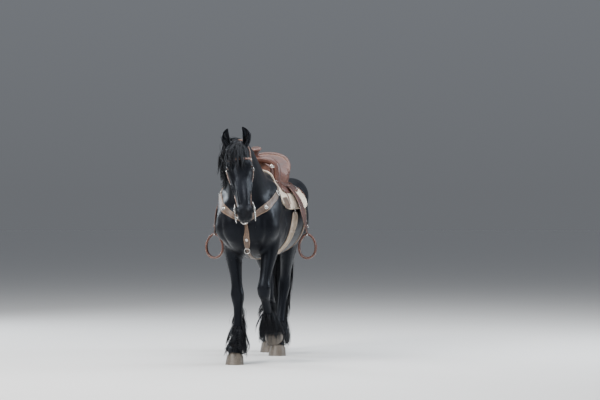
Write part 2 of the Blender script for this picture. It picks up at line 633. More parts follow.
skinTree = treeOf(skinMesh)
fleshNodes = ["torso", "neck", "head"] + [f"{part}_leg_{leg}" for part in ("upper", "lower") for leg in legTables]
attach(skin, "root")
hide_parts(*fleshNodes)
print("friesian: skin shaped")


# ---- finishes: shared effects are node groups, and each material has its own shader

def put(tree, kind, inputs=None, **settings):
    node = tree.nodes.new("ShaderNode" + kind)
    for key, value in settings.items():
        setattr(node, key, value)
    for key, value in (inputs or {}).items():
        if isinstance(value, bpy.types.NodeSocket):
            tree.links.new(value, node.inputs[key])
        else:
            node.inputs[key].default_value = value
    return node


def sums(tree, what, a, b=0.0, c=0.0):
    return put(tree, "Math", {0: a, 1: b, 2: c}, operation=what).outputs[0]


def blended(tree, share, a, b):
    node = put(tree, "Mix", {0: share}, data_type="RGBA")
    for index, value in ((6, a), (7, b)):
        if isinstance(value, bpy.types.NodeSocket):
            tree.links.new(value, node.inputs[index])
        else:
            node.inputs[index].default_value = (*value, 1)
    return node.outputs[2]


def between(tree, value, low, high, to=(0, 1)):
    return put(tree, "MapRange", {0: value, 1: low, 2: high, 3: to[0], 4: to[1]}).outputs[0]


def effect(name, inputs, outputs):
    tree = bpy.data.node_groups.new(name, "ShaderNodeTree")
    for label, kind, value in inputs:
        socket = tree.interface.new_socket(label, in_out="INPUT", socket_type="NodeSocket" + kind)
        if value is not None:
            socket.default_value = value
    for label, kind in outputs:
        tree.interface.new_socket(label, in_out="OUTPUT", socket_type="NodeSocket" + kind)
    given = tree.nodes.new("NodeGroupInput").outputs
    result = tree.nodes.new("NodeGroupOutput").inputs
    return tree, given, result


def makeNap():
    tree, given, result = effect("furNap", [("Vector", "Vector", None), ("Scale", "Float", 700.0), ("Lay", "Vector", None)],
                                 [("Height", "Float"), ("Clump", "Float")])
    laid = put(tree, "VectorMath", {0: given["Vector"], 1: given["Lay"]}, operation="MULTIPLY").outputs[0]
    broad = put(tree, "TexNoise", {"Vector": given["Vector"], "Scale": 7.0, "Detail": 3.0}).outputs[0]
    bent = put(tree, "VectorMath", {0: laid, 1: put(tree, "CombineXYZ", {0: broad, 2: broad}).outputs[0]}, operation="ADD").outputs[0]
    fine = put(tree, "TexNoise", {"Vector": bent, "Scale": given["Scale"], "Detail": 3.0, "Roughness": 0.6}).outputs[0]
    tuft = put(tree, "TexNoise", {"Vector": bent, "Scale": sums(tree, "MULTIPLY", given["Scale"], 0.16), "Detail": 2.0}).outputs[0]
    tree.links.new(sums(tree, "ADD", sums(tree, "MULTIPLY", fine, 0.55), sums(tree, "MULTIPLY", tuft, 0.45)), result["Height"])
    tree.links.new(sums(tree, "ADD", sums(tree, "MULTIPLY", broad, 0.6), sums(tree, "MULTIPLY", tuft, 0.4)), result["Clump"])
    return tree


def makeGrain():
    tree, given, result = effect("leatherGrain", [("Vector", "Vector", None), ("Scale", "Float", 900.0)],
                                 [("Height", "Float"), ("Mottle", "Float")])
    wander = put(tree, "TexNoise", {"Vector": given["Vector"], "Scale": 60.0, "Detail": 3.0})
    place = put(tree, "VectorMath", {0: given["Vector"], 1: put(tree, "VectorMath", {0: wander.outputs[1], 1: (0.004,) * 3},
                                     operation="MULTIPLY").outputs[0]}, operation="ADD").outputs[0]
    cells = put(tree, "TexVoronoi", {"Vector": place, "Scale": given["Scale"]}, feature="DISTANCE_TO_EDGE").outputs[0]
    pores = put(tree, "TexNoise", {"Vector": given["Vector"], "Scale": sums(tree, "MULTIPLY", given["Scale"], 2.2)}).outputs[0]
    creases = put(tree, "TexNoise", {"Vector": given["Vector"], "Scale": 45.0, "Detail": 6.0, "Roughness": 0.65}).outputs[0]
    pebble = between(tree, cells, 0.0, 0.35)
    tree.links.new(sums(tree, "MULTIPLY_ADD", creases, 0.8, sums(tree, "MULTIPLY_ADD", pores, 0.25, pebble)), result["Height"])
    tree.links.new(put(tree, "TexNoise", {"Vector": given["Vector"], "Scale": 14.0, "Detail": 5.0, "Roughness": 0.6}).outputs[0],
                   result["Mottle"])
    return tree


def makeWear():
    tree, given, result = effect("edgeWear", [("Vector", "Vector", None), ("Low", "Float", 0.505), ("High", "Float", 0.56)],
                                 [("Edge", "Float"), ("Crevice", "Float")])
    bend = put(tree, "NewGeometry").outputs["Pointiness"]
    patch = put(tree, "TexNoise", {"Vector": given["Vector"], "Scale": 55.0, "Detail": 5.0, "Roughness": 0.7}).outputs[0]
    edge = between(tree, bend, given["Low"], given["High"])
    tree.links.new(sums(tree, "MULTIPLY", edge, between(tree, patch, 0.34, 0.62)), result["Edge"])
    tree.links.new(between(tree, bend, 0.495, 0.44), result["Crevice"])
    return tree


def makeTooling():
    # leaves and scrolls pressed in along a strap: metres along and across, from its own unwrap
    tree, given, result = effect("stampedLeaves", [("Vector", "Vector", None), ("Repeat", "Float", 0.030), ("Half", "Float", 0.018)],
                                 [("Height", "Float"), ("Border", "Float")])
    parts = put(tree, "SeparateXYZ", {0: given["Vector"]})
    u, v = parts.outputs[0], parts.outputs[1]
    phase = sums(tree, "MULTIPLY", sums(tree, "DIVIDE", u, given["Repeat"]), math.tau)
    across = sums(tree, "DIVIDE", v, given["Half"])
    stem = sums(tree, "ABSOLUTE", sums(tree, "SUBTRACT", across, sums(tree, "MULTIPLY", sums(tree, "SINE", phase), 0.42)))
    leafAt = sums(tree, "PINGPONG", sums(tree, "DIVIDE", u, given["Repeat"]), 0.5)
    leafDown = sums(tree, "ABSOLUTE", sums(tree, "ADD", across, sums(tree, "MULTIPLY", sums(tree, "SINE", phase), 0.30)))
    petals = put(tree, "TexVoronoi", {"Vector": given["Vector"], "Scale": sums(tree, "DIVIDE", 0.36, given["Half"])},
                 feature="SMOOTH_F1").outputs[0]
    veins = sums(tree, "SINE", sums(tree, "MULTIPLY", sums(tree, "ADD", sums(tree, "MULTIPLY", leafAt, 16.0), leafDown), 9.0))
    leaf = between(tree, leafDown, 0.34, 0.22)
    raisedStem = between(tree, stem, 0.12, 0.05)
    inside = between(tree, sums(tree, "ABSOLUTE", across), 0.80, 0.74)
    body = sums(tree, "MAXIMUM", raisedStem, sums(tree, "MULTIPLY", leaf, sums(tree, "MULTIPLY_ADD", veins, 0.22, 0.70)))
    body = sums(tree, "MAXIMUM", body, between(tree, petals, 0.42, 0.30, (0, 0.75)))
    tree.links.new(sums(tree, "MULTIPLY_ADD", body, inside, sums(tree, "SUBTRACT", 1.0, inside)), result["Height"])
    tree.links.new(sums(tree, "SUBTRACT", sums(tree, "MULTIPLY", body, inside), sums(tree, "SUBTRACT", 0.0, 0.0)), result["Border"])
    return tree


def makeWoven():
    tree, given, result = effect("wovenYarn", [("Vector", "Vector", None), ("Scale", "Float", 260.0)],
                                 [("Height", "Float"), ("Shade", "Float")])
    one = put(tree, "TexWave", {"Vector": given["Vector"], "Scale": given["Scale"], "Distortion": 1.2, "Detail": 2.0,
                                "Detail Scale": 2.0}, bands_direction="Y").outputs[1]
    two = put(tree, "TexWave", {"Vector": given["Vector"], "Scale": given["Scale"], "Distortion": 1.2, "Detail": 2.0,
                                "Detail Scale": 2.0}, bands_direction="Z").outputs[1]
    fuzz = put(tree, "TexNoise", {"Vector": given["Vector"], "Scale": 800.0, "Detail": 4.0, "Roughness": 0.7}).outputs[0]
    cloth = sums(tree, "MAXIMUM", one, two)
    tree.links.new(sums(tree, "MULTIPLY_ADD", fuzz, 0.8, cloth), result["Height"])
    tree.links.new(put(tree, "TexNoise", {"Vector": given["Vector"], "Scale": 22.0, "Detail": 5.0}).outputs[0], result["Shade"])
    return tree


napGroup, grainGroup, wearGroup, toolingGroup, wovenGroup = makeNap(), makeGrain(), makeWear(), makeTooling(), makeWoven()


def finish(name):
    material = bpy.data.materials.new(name)
    material.use_nodes = True
    tree = material.node_tree
    shader = tree.nodes["Principled BSDF"]
    place = put(tree, "TexCoord").outputs["Object"]
    return material, tree, shader, place


def bumped(tree, shader, height, strength, distance):
    bump = put(tree, "Bump", {"Strength": strength, "Distance": distance, "Height": height})
    tree.links.new(bump.outputs[0], shader.inputs["Normal"])


def setShader(shader, **values):
    for key, value in values.items():
        shader.inputs[key.replace("_", " ")].default_value = value


coatLook = {"dark": (0.0020, 0.0021, 0.0028), "light": (0.0054, 0.0056, 0.0076), "skin": (0.0070, 0.0066, 0.0072),
            "sheen": (0.50, 0.58, 0.74, 1), "gloss": (0.74, 0.84, 1.0, 1)}


def makeCoat():
    material, tree, shader, place = finish("blackCoat")
    nap = put(tree, "Group", {"Vector": place, "Scale": 520.0, "Lay": (1.0, 0.22, 0.42)}, node_tree=napGroup)
    place3 = put(tree, "SeparateXYZ", {0: place})
    muzzle = sums(tree, "MULTIPLY", between(tree, place3.outputs[2], 1.36, 1.27), between(tree, place3.outputs[1], -1.02, -1.10))
    shade = between(tree, nap.outputs["Clump"], 0.32, 0.68)
    colour = blended(tree, shade, coatLook["dark"], coatLook["light"])
    colour = blended(tree, sums(tree, "MULTIPLY", muzzle, 0.8), colour, coatLook["skin"])
    tree.links.new(colour, shader.inputs["Base Color"])
    tree.links.new(sums(tree, "MULTIPLY_ADD", nap.outputs["Height"], 0.26, 0.27), shader.inputs["Roughness"])
    setShader(shader, Specular_IOR_Level=0.135, Specular_Tint=coatLook["gloss"], Sheen_Weight=0.006, Sheen_Roughness=0.4, Sheen_Tint=coatLook["sheen"])
    bumped(tree, shader, nap.outputs["Height"], 0.40, 0.0016)
    return material


hairLook = {"dark": (0.0025, 0.0025, 0.0032), "light": (0.014, 0.012, 0.0115), "worn": (0.034, 0.025, 0.019)}


def makeHair():
    material, tree, shader, place = finish("longHair")
    patch = put(tree, "UVMap", uv_map="OFBake").outputs[0]
    strand = put(tree, "TexNoise", {"Vector": patch, "Scale": 420.0, "Detail": 1.0}).outputs[0]
    run = put(tree, "VectorMath", {0: place, 1: (1.0, 1.0, 0.10)}, operation="MULTIPLY").outputs[0]
    streak = put(tree, "TexNoise", {"Vector": run, "Scale": 190.0, "Detail": 4.0, "Roughness": 0.6}).outputs[0]
    colour = blended(tree, between(tree, strand, 0.36, 0.66), hairLook["dark"], hairLook["light"])
    colour = blended(tree, between(tree, streak, 0.58, 0.80, (0, 0.5)), colour, hairLook["worn"])
    tree.links.new(colour, shader.inputs["Base Color"])
    tree.links.new(between(tree, streak, 0.3, 0.7, (0.30, 0.44)), shader.inputs["Roughness"])
    setShader(shader, Specular_IOR_Level=0.30, Specular_Tint=coatLook["gloss"], Sheen_Weight=0.006, Sheen_Tint=coatLook["sheen"])
    bumped(tree, shader, streak, 0.15, 0.0005)
    return material


hoofLook = {"pale": (0.140, 0.114, 0.088), "dark": (0.056, 0.046, 0.037), "line": (0.055, 0.044, 0.035), "dust": (0.165, 0.140, 0.112)}


def makeHorn():
    material, tree, shader, place = finish("hoofHorn")
    tall = put(tree, "VectorMath", {0: place, 1: (1.0, 1.0, 0.06)}, operation="MULTIPLY").outputs[0]
    wide = put(tree, "VectorMath", {0: place, 1: (0.15, 0.15, 1.0)}, operation="MULTIPLY").outputs[0]
    streak = put(tree, "TexNoise", {"Vector": tall, "Scale": 330.0, "Detail": 5.0, "Roughness": 0.6}).outputs[0]
    rings = put(tree, "TexNoise", {"Vector": wide, "Scale": 130.0, "Detail": 3.0}).outputs[0]
    dirt = put(tree, "TexNoise", {"Vector": place, "Scale": 40.0, "Detail": 6.0, "Roughness": 0.65}).outputs[0]
    wear = put(tree, "Group", {"Vector": place}, node_tree=wearGroup)
    colour = blended(tree, between(tree, streak, 0.38, 0.66), hoofLook["dark"], hoofLook["pale"])
    colour = blended(tree, between(tree, rings, 0.56, 0.70, (0, 0.45)), colour, hoofLook["line"])
    colour = blended(tree, between(tree, dirt, 0.52, 0.74, (0, 0.6)), colour, hoofLook["dust"])
    colour = blended(tree, wear.outputs["Crevice"], colour, hoofLook["line"])
    tree.links.new(colour, shader.inputs["Base Color"])
    tree.links.new(between(tree, dirt, 0.3, 0.7, (0.34, 0.62)), shader.inputs["Roughness"])
    bumped(tree, shader, sums(tree, "MULTIPLY_ADD", rings, 1.6, streak), 0.35, 0.0012)
    return material


eyeLook = {"iris": (0.018, 0.009, 0.005), "warm": (0.044, 0.021, 0.010), "rim": (0.004, 0.003, 0.002), "pupil": (0.0012, 0.0014, 0.0022),
           "white": (0.014, 0.011, 0.010)}


def makeEyeFinish():
    material, tree, shader, place = finish("darkEye")
    size = eyePlan["radius"] * drawnScale
    parts = put(tree, "SeparateXYZ", {0: put(tree, "VectorMath", {0: place, 1: (1 / size,) * 3}, operation="MULTIPLY").outputs[0]})
    x, y = parts.outputs[0], parts.outputs[1]
    wide = put(tree, "CombineXYZ", {0: x, 1: sums(tree, "MULTIPLY", y, 1.15)}).outputs[0]
    away = put(tree, "VectorMath", {0: wide}, operation="LENGTH").outputs["Value"]
    slot = put(tree, "CombineXYZ", {0: sums(tree, "MULTIPLY", x, 0.62), 1: sums(tree, "MULTIPLY", y, 1.5)}).outputs[0]
    pupil = between(tree, put(tree, "VectorMath", {0: slot}, operation="LENGTH").outputs["Value"], 0.20, 0.24, (1, 0))
    spokes = put(tree, "TexNoise", {"Vector": put(tree, "CombineXYZ", {0: sums(tree, "MULTIPLY", sums(tree, "ARCTAN2", y, x), 3.0),
                 1: away}).outputs[0], "Scale": 4.0, "Detail": 5.0, "Roughness": 0.7}).outputs[0]
    colour = blended(tree, between(tree, spokes, 0.35, 0.7), eyeLook["iris"], eyeLook["warm"])
    colour = blended(tree, between(tree, away, 0.74, 0.90), colour, eyeLook["rim"])
    colour = blended(tree, between(tree, away, 0.965, 0.995), colour, eyeLook["white"])
    colour = blended(tree, pupil, colour, eyeLook["pupil"])
    tree.links.new(colour, shader.inputs["Base Color"])
    tree.links.new(between(tree, spokes, 0.2, 0.8, (0.05, 0.12)), shader.inputs["Roughness"])
    setShader(shader, Coat_Weight=0.25, Coat_Roughness=0.02, Specular_IOR_Level=0.35)
    bumped(tree, shader, spokes, 0.05, 0.0003)
    return material


def makeLeather(name, dark, light, worn, tooled=None, rough=(0.36, 0.56), grain=700.0):
    material, tree, shader, place = finish(name)
    hide = put(tree, "Group", {"Vector": place, "Scale": grain}, node_tree=grainGroup)
    wear = put(tree, "Group", {"Vector": place}, node_tree=wearGroup)
    colour = blended(tree, between(tree, hide.outputs["Mottle"], 0.30, 0.70), dark, light)
    height = sums(tree, "MULTIPLY", hide.outputs["Height"], 0.35)
    if tooled:
        flat = put(tree, "UVMap", uv_map="along").outputs[0]
        stamp = put(tree, "Group", {"Vector": flat, "Repeat": tooled[0], "Half": tooled[1]}, node_tree=toolingGroup)
        height = sums(tree, "MULTIPLY_ADD", stamp.outputs["Height"], 2.4, height)
        deep = sums(tree, "SUBTRACT", 1.0, stamp.outputs["Height"])
        colour = blended(tree, sums(tree, "MULTIPLY", deep, 0.72), colour, tuple(c * 0.30 for c in dark))
    colour = blended(tree, wear.outputs["Edge"], colour, worn)
    colour = blended(tree, wear.outputs["Crevice"], colour, tuple(c * 0.35 for c in dark))
    tree.links.new(colour, shader.inputs["Base Color"])
    tree.links.new(between(tree, hide.outputs["Mottle"], 0.25, 0.75, rough), shader.inputs["Roughness"])
    setShader(shader, Coat_Weight=0.12, Coat_Roughness=0.35)
    bumped(tree, shader, height, 0.45, 0.0009)
    return material


def makeWool():
    material, tree, shader, place = finish("creamWool")
    cloth = put(tree, "Group", {"Vector": place, "Scale": 75.0}, node_tree=wovenGroup)
    wear = put(tree, "Group", {"Vector": place}, node_tree=wearGroup)
    colour = blended(tree, between(tree, cloth.outputs["Shade"], 0.3, 0.7), (0.42, 0.34, 0.26), (0.66, 0.55, 0.44))
    colour = blended(tree, sums(tree, "MULTIPLY", wear.outputs["Crevice"], 0.6), colour, (0.20, 0.16, 0.12))
    tree.links.new(colour, shader.inputs["Base Color"])
    tree.links.new(between(tree, cloth.outputs["Shade"], 0.2, 0.8, (0.82, 0.95)), shader.inputs["Roughness"])
    setShader(shader, Sheen_Weight=0.35, Sheen_Roughness=0.5, Sheen_Tint=(0.95, 0.88, 0.76, 1))
    bumped(tree, shader, cloth.outputs["Height"], 0.55, 0.0012)
    return material


def makeCordYarn():
    material, tree, shader, place = finish("cinchCord")
    flat = put(tree, "UVMap", uv_map="along").outputs[0]
    parts = put(tree, "SeparateXYZ", {0: flat})
    twist = sums(tree, "SINE", sums(tree, "MULTIPLY", sums(tree, "MULTIPLY_ADD", parts.outputs[1], 1.6, parts.outputs[0]), 780.0))
    fuzz = put(tree, "TexNoise", {"Vector": place, "Scale": 900.0, "Detail": 4.0}).outputs[0]
    soil = put(tree, "TexNoise", {"Vector": place, "Scale": 18.0, "Detail": 5.0}).outputs[0]
    colour = blended(tree, between(tree, soil, 0.35, 0.70), (0.46, 0.37, 0.27), (0.27, 0.19, 0.13))
    colour = blended(tree, between(tree, twist, -0.2, -1.0, (0, 0.6)), colour, (0.10, 0.07, 0.05))
    tree.links.new(colour, shader.inputs["Base Color"])
    tree.links.new(between(tree, fuzz, 0.2, 0.8, (0.80, 0.95)), shader.inputs["Roughness"])
    setShader(shader, Sheen_Weight=0.3)
    bumped(tree, shader, sums(tree, "MULTIPLY_ADD", fuzz, 0.5, twist), 0.6, 0.0010)
    return material


def makeSilver():
    material, tree, shader, place = finish("engravedSilver")
    wear = put(tree, "Group", {"Vector": place}, node_tree=wearGroup)
    curls = put(tree, "TexVoronoi", {"Vector": place, "Scale": 300.0}, feature="SMOOTH_F1").outputs[0]
    cut = sums(tree, "SINE", sums(tree, "MULTIPLY", curls, 26.0))
    tarnish = put(tree, "TexNoise", {"Vector": place, "Scale": 70.0, "Detail": 6.0, "Roughness": 0.7}).outputs[0]
    dirty = sums(tree, "MAXIMUM", wear.outputs["Crevice"], between(tree, cut, -0.70, -0.98, (0, 0.55)))
    colour = blended(tree, between(tree, tarnish, 0.40, 0.75), (0.62, 0.61, 0.585), (0.36, 0.34, 0.31))
    colour = blended(tree, dirty, colour, (0.055, 0.048, 0.042))
    tree.links.new(colour, shader.inputs["Base Color"])
    tree.links.new(between(tree, tarnish, 0.3, 0.7, (0.16, 0.34)), shader.inputs["Roughness"])
    tree.links.new(between(tree, dirty, 0.0, 1.0, (1.0, 0.35)), shader.inputs["Metallic"])
    bumped(tree, shader, cut, 0.10, 0.0004)
    return material


def makeThread():
    material, tree, shader, place = finish("waxedThread")
    shade = put(tree, "TexNoise", {"Vector": place, "Scale": 500.0, "Detail": 3.0}).outputs[0]
    tree.links.new(blended(tree, shade, (0.30, 0.22, 0.13), (0.62, 0.52, 0.36)), shader.inputs["Base Color"])
    tree.links.new(between(tree, shade, 0.2, 0.8, (0.45, 0.65)), shader.inputs["Roughness"])
    bumped(tree, shader, shade, 0.4, 0.0004)
    return material


blackCoat, longHair, hoofHorn, darkEye = makeCoat(), makeHair(), makeHorn(), makeEyeFinish()
saddleLeather = makeLeather("saddleLeather", (0.032, 0.0090, 0.0060), (0.078, 0.0235, 0.0150), (0.170, 0.066, 0.040))
skirtLeather = makeLeather("skirtLeather", (0.036, 0.0105, 0.0068), (0.086, 0.0265, 0.0165), (0.185, 0.074, 0.044), (0.075, 0.036))
tanTooled = makeLeather("tanTooled", (0.066, 0.036, 0.022), (0.128, 0.075, 0.047), (0.27, 0.18, 0.118), (0.042, 0.0200))
billetLeather = makeLeather("billetLeather", (0.16, 0.066, 0.044), (0.27, 0.125, 0.086), (0.40, 0.23, 0.16))
bridleLeather = makeLeather("bridleLeather", (0.070, 0.028, 0.018), (0.140, 0.060, 0.038), (0.28, 0.145, 0.095), grain=1100.0)
creamWool, cinchCord, engravedSilver, waxedThread = makeWool(), makeCordYarn(), makeSilver(), makeThread()
skin.data.materials.append(blackCoat)
print("friesian: finishes made")


# ---- eyes, ears and hooves

def dress(obj, material, slotName, *nodes):
    obj.data.materials.append(material)
    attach(obj, "root")
    if nodes:
        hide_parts(*nodes)
    return obj


def makeEye(side, word):
    bm = bmesh.new()
    bmesh.ops.create_uvsphere(bm, u_segments=40, v_segments=32, radius=eyePlan["radius"] * drawnScale)
    for v in bm.verts:
        v.co *= 1 + 0.045 * float(ramp(v.co.normalized().z, 0.72, 1.0))       # the cornea
    obj = newObject("eyeball_" + word, meshOf(bm))
    obj.data.shade_smooth()
    at = eyePlan["at"]
    gaze = headFrame.to_3x3() @ Vector((side, 0.20, 0.08))
    obj.location = world(onHead(at[0] * side, *at[1:]))
    down = headFrame.to_3x3() @ Vector((0, 0.3, 1))
    across = gaze.cross(down).normalized()
    obj.rotation_mode = "QUATERNION"
    obj.rotation_quaternion = Matrix((across, gaze.normalized().cross(across), gaze.normalized())).transposed().to_quaternion()
    return obj


earPlan = {
    # across, out, down, half-width, wrap in degrees, from the base to the tip
    "rows": ((0.028, -0.048, 0.062, 0.008, 178), (0.032, -0.046, 0.052, 0.016, 177), (0.040, -0.042, 0.038, 0.0215, 174),
             (0.049, -0.037, 0.024, 0.0245, 168), (0.059, -0.031, 0.006, 0.0270, 158), (0.068, -0.025, -0.014, 0.0295, 142),
             (0.075, -0.016, -0.044, 0.032, 122), (0.075, -0.008, -0.072, 0.031, 112),
             (0.071, -0.003, -0.097, 0.025, 105), (0.063, -0.001, -0.119, 0.016, 100), (0.053, -0.001, -0.136, 0.005, 95)),
    "thick": 0.0032,
    "turn": 22,          # degrees that the cup faces outward
    "points": 22,
}


def makeEar(side, word):
    loops = []
    count = earPlan["points"]
    for across, out, down, width, wrap in easedRows(earPlan["rows"], 5):
        loop = []
        for inner in (0, 1):
            shares = np.linspace(-1, 1, count) * (1 - 2 * inner)
            for share in shares:
                angle = share * math.radians(wrap) + math.radians(earPlan["turn"])
                rim = 1 - 0.10 * abs(share)**8
                wide = (width - inner * min(earPlan["thick"], width * 0.45)) * rim
                loop.append(onHead((across + math.sin(angle) * wide) * side, out - math.cos(angle) * wide * 0.85, down))
        loops.append(world(loop))
    bm = bmesh.new()
    addLoft(bm, loops)
    obj = newObject("ear_cup_" + word, meshOf(bm))
    obj.data.shade_smooth()
    smooth = obj.modifiers.new("rounded", "SUBSURF")
    smooth.levels = smooth.render_levels = 1
    return obj


def makeHoof(leg):
    place = hoofFrame(leg)
    rows = easedRows(((0.016, -0.004, 0.0400, 0.038, 0.042), (0.004, -0.001, 0.0545, 0.051, 0.056), *hoofPlan["rings"]), 6)
    loops = []
    for i, (up, ahead, width, front, back) in enumerate(rows):
        ripple = 1 + 0.006 * math.sin(i * 2.1) * math.sin(math.pi * i / len(rows))
        ring = section((0, -ahead, up), (1, 0, 0), (0, -1, 0), width * ripple, front * ripple, back * ripple, 2.1, 2.2, 56)
        ring[:, 2] -= hoofPlan["coronetRise"] * ring[:, 1] * np.clip(1 + up / hoofPlan["height"], 0, 1)
        loops.append(ring)
    last = rows[-1]
    for share, rise in ((0.985, -0.0006), (0.90, 0.0000), (0.86, 0.0040), (0.70, 0.0060), (0.40, 0.0065), (0.10, 0.0060)):
        ring = section((0, -last[1], last[0] + max(rise, 0)), (1, 0, 0), (0, -1, 0), last[2] * share, last[3] * share,
                       last[4] * share, 2.1, 2.2, 56)
        y = ring[:, 1] + last[1]
        frog = (np.abs(ring[:, 0]) < 0.020 * np.clip((y + 0.030) / 0.075, 0, 1)) & (share < 0.88)
        ring[:, 2] -= np.where(frog, 0.0045, 0) - (0 if rise else 0)
        loops.append(ring)
    bm = bmesh.new()
    turn = np.array(place)
    addLoft(bm, [world(loop @ turn[:3, :3].T + turn[:3, 3]) for loop in loops])
    obj = newObject("horn_" + leg, meshOf(bm))
    obj.data.shade_smooth()
    obj.data.set_sharp_from_angle(angle=math.radians(50))
    return obj


# ---- hair: guides that fall over the body, and fine strands in locks round them

hairCover = [skinMesh] + [frame["nodes"][n].data for n in (
    "saddle_pad", "saddle_skirt", "collar_right", "collar_left", "crown_strap", "browband", "cheek_strap_right",
    "cheek_strap_left", "ear_right", "ear_left", *("hoof_" + leg for leg in legTables))]
coverTree = treeOf(*hairCover)
chartCells = {"head": 0, "body": 1, "right_fore": 2, "left_fore": 3, "right_hind": 4, "left_hind": 5}


def bakePlaces(spots):
    # an unwrap of the skin by its six sides, with the head, the body and each leg in rows of their own
    placed = np.zeros((len(spots), 2))
    for i, p in enumerate(spots):
        _, normal, _, _ = skinTree.find_nearest(Vector(p))
        axis = max(range(3), key=lambda k: abs(normal[k]))
        column = axis * 2 + (normal[axis] > 0)
        if p[2] < 0.80:
            row = 2 + (p[0] > 0) + 2 * (p[1] > 0.15)
            low, size = np.array((-0.5, -0.6 if p[1] < 0.15 else 0.4, 0.0)), 0.95
        elif p[1] < -0.80:
            row, low, size = 0, np.array((-0.4, -1.4, 1.1)), 1.0
        else:
            row, low, size = 1, np.array((-0.5, -1.0, 0.6)), 2.4
        u, v = ((p - low) / size)[[k for k in range(3) if k != axis]]
        placed[i] = ((column + 0.04 + 0.92 * np.clip(u, 0, 1)) / 6, (row + 0.04 + 0.92 * np.clip(v, 0, 1)) / 6)
    return placed


def hang(root, heading, length, steps, lift, weight, near=2):
    path, outs = [Vector(root)], []       # a guide falls under its weight, over what lies below it
    way, step = Vector(heading).normalized(), length / steps
    for i in range(steps):
        way = (way + Vector((0, 0, -weight * step))).normalized()
        point = path[-1] + way * step
        hit, normal, _, _ = coverTree.find_nearest(point)
        need = lift * min(1, (i + 1) / near)
        if (point - hit).dot(normal) < need:
            point = hit + normal * need
        way = (point - path[-1]).normalized()
        path.append(point)
    for point in path:
        outs.append(coverTree.find_nearest(point)[1])
    return np.array([tuple(p) for p in path]), np.array([tuple(n) for n in outs])


def strandsOn(path, outs, plan, phase):
    count, steps = plan["perLock"], plan["steps"]
    t = np.linspace(0, 1, steps + 1)
    shares = t[None, :] * (1 - plan["uneven"] * rng.random((count, 1))**1.5)
    where = shares * (len(path) - 1)
    spots = np.arange(len(path))
    middle = np.stack([np.interp(where, spots, path[:, k]) for k in range(3)], 2)
    out = np.stack([np.interp(where, spots, outs[:, k]) for k in range(3)], 2)
    along = np.gradient(path, axis=0)
    along = np.stack([np.interp(where, spots, along[:, k]) for k in range(3)], 2)
    across = np.cross(along, out)
    across /= np.linalg.norm(across, axis=2, keepdims=True) + 1e-9
    out = np.cross(across, along)
    out /= np.linalg.norm(out, axis=2, keepdims=True) + 1e-9
    aside = rng.uniform(-1, 1, (count, 1)) * plan["width"] / 2
    off = rng.random((count, 1)) * plan["thick"]
    gather = 1 - plan["gather"] * t[None, :]**1.3
    loose = np.where(rng.random((count, 1)) < 0.06, 2.2, 1.0)
    turn = math.tau * (plan["turns"] * shares + phase) + rng.normal(0, 0.35, (count, 1))
    swing = plan["wave"] * np.minimum(1, 2.5 * t)[None, :] * rng.uniform(0.7, 1.3, (count, 1)) * loose
    crimp = 0.12 * plan["wave"] * np.sin(math.tau * (plan["turns"] * 3.1 * shares + rng.random((count, 1))))
    sideways = aside * gather * loose + swing * np.sin(turn) + crimp
    outward = off * gather * loose * np.minimum(1, 3 * t)[None, :] + 0.55 * swing * np.cos(turn) * t[None, :]
    found = middle + across * sideways[..., None] + out * outward[..., None]
    return found


def clearOf(found, lift, floor=0.004):
    flat = found.reshape(-1, 3)
    for i, p in enumerate(flat):
        spot = Vector(p)
        hit, normal, _, away = coverTree.find_nearest(spot, 0.06)
        if hit is not None and (spot - hit).dot(normal) < lift:
            flat[i] = hit + normal * lift
    found = flat.reshape(found.shape)
    for _ in range(2):
        found[:, 1:-1] = (found[:, :-2] + 2 * found[:, 1:-1] + found[:, 2:]) / 4
    found[:, :, 2] = np.maximum(found[:, :, 2], floor)
    return found


def rootsIn(found, depth):
    start = found[:, 0]
    for i, p in enumerate(start):
        hit, normal, _, _ = skinTree.find_nearest(Vector(p))
        start[i] = hit - normal * depth


